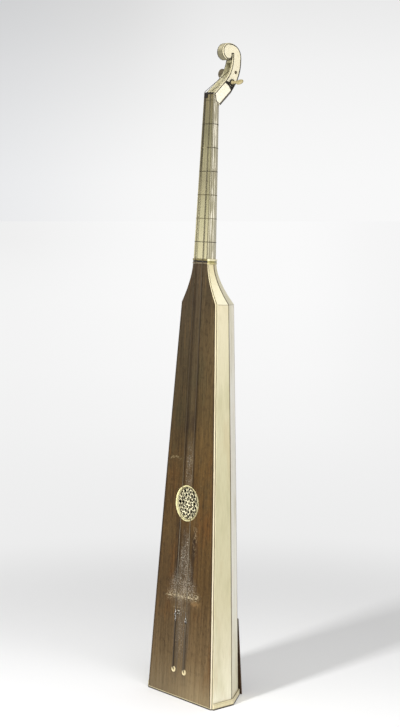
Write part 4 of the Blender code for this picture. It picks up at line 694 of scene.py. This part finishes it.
def pierced_finish():
    """Tracery: pale straps, olive in their hollows, painted shade on the walls of the piercings and a painted shadow
    along its rim.
    """
    finish = Finish("tracery_ivory", Specular_IOR_Level=0.35)
    place = finish.place()
    across, back, up = finish.parts(place)
    grain = finish.noise(place, (500.0, 500.0, 200.0), 2.0)
    hollows = finish.noise(place, (230.0, 230.0, 230.0), 3.0, 0.6)
    front = finish.facing(BOARD_NORMAL).rise(0.60, 0.90)
    rim = from_rosette(finish, across, up).rise(0.0448, 0.0456)
    colour = finish.mix(grain.rise(0.40, 0.70) * 0.20, srgb(242, 234, 196), srgb(214, 206, 160), "MULTIPLY")
    colour = finish.mix(hollows.rise(0.46, 0.53) * 0.88, colour, srgb(62, 55, 31))
    # Painted shadow along the rim, where the tracery meets the ring.
    colour = finish.mix(rim * 0.80, colour, srgb(52, 44, 28))
    # Painted shade on every face that doesn't face the front: the walls of the piercings.
    colour = finish.mix((1.0 - front) * 0.96, colour, srgb(22, 18, 12))
    return finish.finished(colour, 0.40 + grain * 0.2, finish.bump(grain, 0.00006, 0.4))


def ring_finish():
    """Ivory ring of the rosette: painted shade as a dark line inside its face on the left and over the face's right
    part, and a paler bore that is painted light.
    """
    finish = Finish("ring_ivory", Specular_IOR_Level=0.45)
    place = finish.place()
    across, back, up = finish.parts(place)
    front = finish.facing(BOARD_NORMAL).rise(0.60, 0.90)
    # The bore is paler than the face: painted light.
    base = finish.mix(front, srgb(240, 234, 190), srgb(238, 230, 172))
    colour, rough, height = ivory_detail(finish, place, base, 0.8)
    reach = from_rosette(finish, across, up)
    # Dark line inside the face on its left only: painted shade.
    left_part = ((across - ROSETTE_ACROSS) / 0.0521).rise(-0.95, -0.35)
    left_groove_shade = (1.0 - reach.rise(0.0494, 0.0500)) * front * left_part
    colour = finish.mix(left_groove_shade * 0.86, colour, srgb(62, 53, 31))
    # Painted shade over the right part of the face.
    shade = ((across - ROSETTE_ACROSS) / 0.0521).rise(-0.20, 0.90) * front
    colour = finish.mix(shade * 0.84, colour, srgb(138, 126, 90))
    return finish.finished(colour, rough, finish.bump(height, 0.00006, 0.4))


def pegbox_finish():
    """Pegbox and scroll: darker olive up towards the scroll, with painted shade under the scroll, and paler down the
    stem.
    """
    finish = Finish("pegbox_ivory", Specular_IOR_Level=0.4)
    place = finish.place()
    across, back, up = finish.parts(place)
    grain = finish.noise(place, (420.0, 420.0, 60.0), 2.0)
    cloud = finish.noise(place, (130.0, 130.0, 60.0), 3.0)
    # The ramp darkens up towards the scroll; under the scroll the darkening is painted shade.
    base = finish.ramp((up - 1.735) / 0.16, [(0.0, srgb(238, 232, 202)), (0.45, srgb(230, 224, 194)),
                                             (0.62, srgb(184, 177, 142)), (0.72, srgb(162, 155, 122)),
                                             (0.82, srgb(118, 112, 88)), (0.92, srgb(118, 112, 88)),
                                             (1.0, srgb(176, 168, 138))])
    colour = finish.mix(cloud.rise(0.42, 0.66) * 0.45, base, srgb(176, 170, 136), "MULTIPLY")
    colour = finish.mix(grain.rise(0.45, 0.70) * 0.25, colour, srgb(190, 180, 140), "MULTIPLY")
    left_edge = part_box("pegbox")[0][0]
    forward = finish.facing((0.0, -SLANT, SLANT)).rise(0.30, 0.60)
    rim = (1.0 - across.rise(left_edge + 0.0012, left_edge + 0.0022)) * forward
    colour = finish.mix(rim * 0.85, colour, srgb(58, 49, 32))
    return finish.finished(colour, 0.40 + grain * 0.2, finish.bump(grain, 0.00006, 0.4))


def arris_line(node):
    """Depth of a rib's rear edge at the foot, and its change for each metre up the board."""
    points = [board_place(vertex.co) for vertex in NODES[node].data.vertices]
    low = max(point.y for point in points if point.z < 0.03)
    high = max(point.y for point in points if point.z > SHOULDER - 0.01)
    return low, (high - low) / SHOULDER


def board_place(point):
    """A point in the board's own frame."""
    moved = Vector(point) - Vector((0.0, FACE_Y, 0.0))
    return Matrix.Rotation(LEAN, 3, "X") @ moved


def dress(material, *names):
    """Give a finish to nodes of the frame."""
    for name in names:
        node = NODES[name]
        node.data.materials.clear()
        node.data.materials.append(material)


def dress_body():
    """Finishes of the sound box and its shoulder."""
    # The side ramp is lightest at the foot and lighter near the shoulder than in the middle: painted light from the
    # floor's bounce and from above.
    side_tones = [(0.0, srgb(250, 244, 222)), (0.05, srgb(240, 234, 206)), (0.12, srgb(230, 222, 192)),
                  (0.24, srgb(214, 206, 170)), (0.50, srgb(208, 202, 165)), (0.72, srgb(217, 210, 176)),
                  (0.91, srgb(228, 218, 186))]
    diagonal_tones = [(0.0, srgb(234, 227, 196)), (0.12, srgb(242, 237, 212)), (0.26, srgb(248, 245, 232)),
                      (0.50, srgb(231, 227, 213)), (0.72, srgb(232, 228, 214)), (0.91, srgb(236, 229, 208))]
    side = rib_finish("side_ivory", side_tones, arris_line("side_rib_right"))
    diagonal = rib_finish("diagonal_ivory", diagonal_tones, arris_line("diagonal_rib_right"))
    dress(side, "side_rib_right", "side_rib_left")
    dress(diagonal, "diagonal_rib_right", "diagonal_rib_left")
    dress(rib_finish("back_ivory", side_tones), "back_board")
    bright = [(0.0, srgb(240, 234, 206)), (0.45, srgb(236, 229, 196)), (1.0, srgb(214, 202, 160))]
    soft = [(0.0, srgb(228, 222, 196)), (0.60, srgb(220, 212, 180)), (1.0, srgb(206, 196, 156))]
    dress(shoulder_finish("shoulder_side_ivory", bright, 0.9), "shoulder_side_right", "shoulder_side_left")
    dress(shoulder_finish("shoulder_diagonal_ivory", soft, 0.9), "shoulder_diagonal_right",
          "shoulder_diagonal_left")
    dress(shoulder_finish("shoulder_back_ivory", soft, 0.0), "shoulder_back")
    dress(edging_finish(), "edging_right", "edging_left")
    dress(band_finish("band_ivory"), "base_band", "foot_strip")
    dress(board_finish(), "soundboard")
    dress(pierced_finish(), "rosette_tracery")
    dress(ring_finish(), "rosette_ring")
    dress(carved_finish("eyelet_ivory", srgb(220, 204, 160)), "eyelet_left", "eyelet_right")
    dress(flap_finish(), "back_flap")
    dress(inner_wood_finish(), "bottom_frame", "bar_lower", "bar_upper", "neck_block", "neck_core",
          "lining_right", "lining_left")


def dress_neck():
    """Finishes of the neck, its collar and its position marks."""
    dress(facing_front_finish(), "neck_front")
    dress(facing_side_finish(), "neck_side_right", "neck_side_left")
    dress(collar_finish("collar_upper_ivory", srgb(112, 102, 64), srgb(222, 214, 176), NECK_FOOT - 0.0003),
          "collar_upper")
    dress(collar_finish("collar_band_ebony", srgb(26, 21, 15), srgb(150, 142, 92)), "collar_band")
    dress(collar_finish("collar_lower_ivory", srgb(104, 92, 70), srgb(186, 176, 124)), "collar_lower")
    dark = mark_finish("mark_dark", srgb(38, 31, 18))
    faint = mark_finish("mark_faint", srgb(84, 75, 46))
    dress(dark, "position_mark_1", "position_mark_4", "position_mark_6")
    dress(faint, "position_mark_2", "position_mark_3")
    dress(mark_finish("mark_worn", srgb(58, 50, 30), 0.003), "position_mark_5")


def dress_head():
    """Finishes of the nut, the head, its pegs and ironwork, and the strings."""
    dress(ebony_finish(), "base_sole", "nut", "cheek_line_right", "cheek_line_left", "cheek_border_right",
          "cheek_border_left")
    dress(iron_finish(), "ratchet_wheel", "pawl", "iron_plate", "hinge_leaf_fixed", "hinge_leaf_moving",
          "hinge_pin")
    dress(peg_wood_finish(), "peg_upper")
    dress(gut_finish(), "string_left", "string_right", "winding_left", "winding_right")
    dress(carved_finish("peg_ivory", srgb(160, 147, 108), 0.25), "peg_lower")
    dress(cheek_finish(), "cheek_right", "cheek_left")
    dress(pegbox_finish(), "pegbox")


def paper_finish():
    """Studio paper: matt near the instrument; far off it glows as painted light, dimmer nearer in and with painted
    shade to the sides.
    """
    finish = Finish("studio_paper", Roughness=0.9, Specular_IOR_Level=0.1, Emission_Strength=1.0)
    across, along, up = finish.parts(finish.own_place())
    reach = (across * across + along * along) ** 0.5
    far = reach.rise(0.9, 2.3)
    # The glow is dimmer nearer the instrument: painted shade on the paper.
    glow = finish.ramp(reach / 16.0, [(0.0, grey(234)), (0.13, grey(235)), (0.21, grey(238)),
                                      (0.34, grey(243)), (0.54, grey(246)), (1.0, grey(248))])
    leftwards = (across * -SIDEWAYS[0] - along * SIDEWAYS[1]) / (reach + 4.9)
    # Painted shade that dims the glow leftwards, and a little far to the right.
    side_shade = leftwards.rise(-0.01, 0.13) * (reach.rise(8.0, 40.0) * 0.55 + 0.45) + (-1.0 * leftwards).rise(0.06, 0.13) * 0.4
    glow = finish.mix(side_shade, glow, grey(236))
    finish.plug(finish.shader.inputs["Emission Color"], finish.mix(far, grey(0), glow))
    return finish.finished(finish.mix(far, grey(250), grey(0)))


def add_studio():
    """Wide pale floor."""
    bpy.ops.object.select_all(action="DESELECT")
    bpy.ops.mesh.primitive_circle_add(vertices=96, radius=60.0, fill_type="NGON")
    floor = bpy.context.object
    floor.name = "studio_floor"
    floor.data.materials.append(paper_finish())


def add_light(name, azimuth, distance, height, size, power, target_height=0.9):
    """Soft square light at an azimuth from the front, in degrees towards the right."""
    angle = math.radians(azimuth)
    place = Vector((distance * math.sin(angle), -distance * math.cos(angle), height))
    data = bpy.data.lights.new(name, "AREA")
    data.shape = "SQUARE"
    data.size = size
    data.energy = power
    made = bpy.data.objects.new(name, data)
    bpy.context.scene.collection.objects.link(made)
    made.location = place
    made.rotation_euler = (Vector((0.0, 0.0, target_height)) - place).to_track_quat("-Z", "Y").to_euler()
    return made


class Sky(Finish):
    """The world's node tree, worked on as a finish is."""

    def __init__(self, name):
        self.world = bpy.data.worlds.new(name)
        self.world.use_nodes = True
        self.tree = self.world.node_tree
        self.shader = self.tree.nodes["Background"]


def add_world():
    """Backdrop that dims upwards and leftwards, and an even, weaker light from all round."""
    sky = Sky("studio_world")
    towards = sky.add("ShaderNodeTexCoord", output="Generated")
    across, along, up = sky.parts(towards)
    leftwards = across * -SIDEWAYS[0] - along * SIDEWAYS[1]
    tone = sky.ramp(up / 0.30, [(0.0, grey(248)), (0.10, grey(246)), (0.22, grey(242)), (0.34, grey(234)),
                                (1.0, grey(226))])
    tone = sky.mix(leftwards.rise(0.0, 0.13) * 0.90, tone, srgb(238, 239, 241), "MULTIPLY")
    tone = sky.mix(leftwards.rise(-0.035, 0.045) * up.rise(-0.02, 0.11), tone, grey(240), "MULTIPLY")
    sky.plug(sky.shader.inputs["Color"], tone)
    fill = sky.tree.nodes.new("ShaderNodeBackground")
    fill.inputs["Color"].default_value = (1.0, 1.0, 1.0, 1.0)
    fill.inputs["Strength"].default_value = FILL
    choose = sky.tree.nodes.new("ShaderNodeMixShader")
    sky.plug(choose.inputs[0], sky.add("ShaderNodeLightPath", output="Is Camera Ray"))
    sky.tree.links.new(fill.outputs[0], choose.inputs[1])
    sky.tree.links.new(sky.shader.outputs[0], choose.inputs[2])
    sky.tree.links.new(choose.outputs[0], sky.tree.nodes["World Output"].inputs["Surface"])
    bpy.context.scene.world = sky.world


def add_lights():
    """Front light that throws the long shadow, a broad soft light on the right and an even sky."""
    add_world()
    add_light("front_light", 9.5, 3.5, 1.95, 0.42, 119.0)
    add_light("right_light", 75.0, 2.2, 2.8, 2.2, 49.0)


def add_camera():
    """Camera at the photograph's place."""
    data = bpy.data.cameras.new("photo_camera")
    data.sensor_width = SENSOR
    data.lens = LENS
    data.clip_end = 60.0
    made = bpy.data.objects.new("photo_camera", data)
    bpy.context.scene.collection.objects.link(made)
    made.location = (CAMERA_DISTANCE * math.sin(CAMERA_AZIMUTH),
                     FACE_Y - CAMERA_DISTANCE * math.cos(CAMERA_AZIMUTH), CAMERA_HEIGHT)
    made.rotation_euler = (math.radians(90.0) - CAMERA_TILT, 0.0, CAMERA_AZIMUTH - CAMERA_PAN)
    bpy.context.scene.camera = made


add_camera()
dress_body()
dress_neck()
dress_head()
add_studio()
add_lights()
bpy.context.scene.view_settings.view_transform = "Standard"
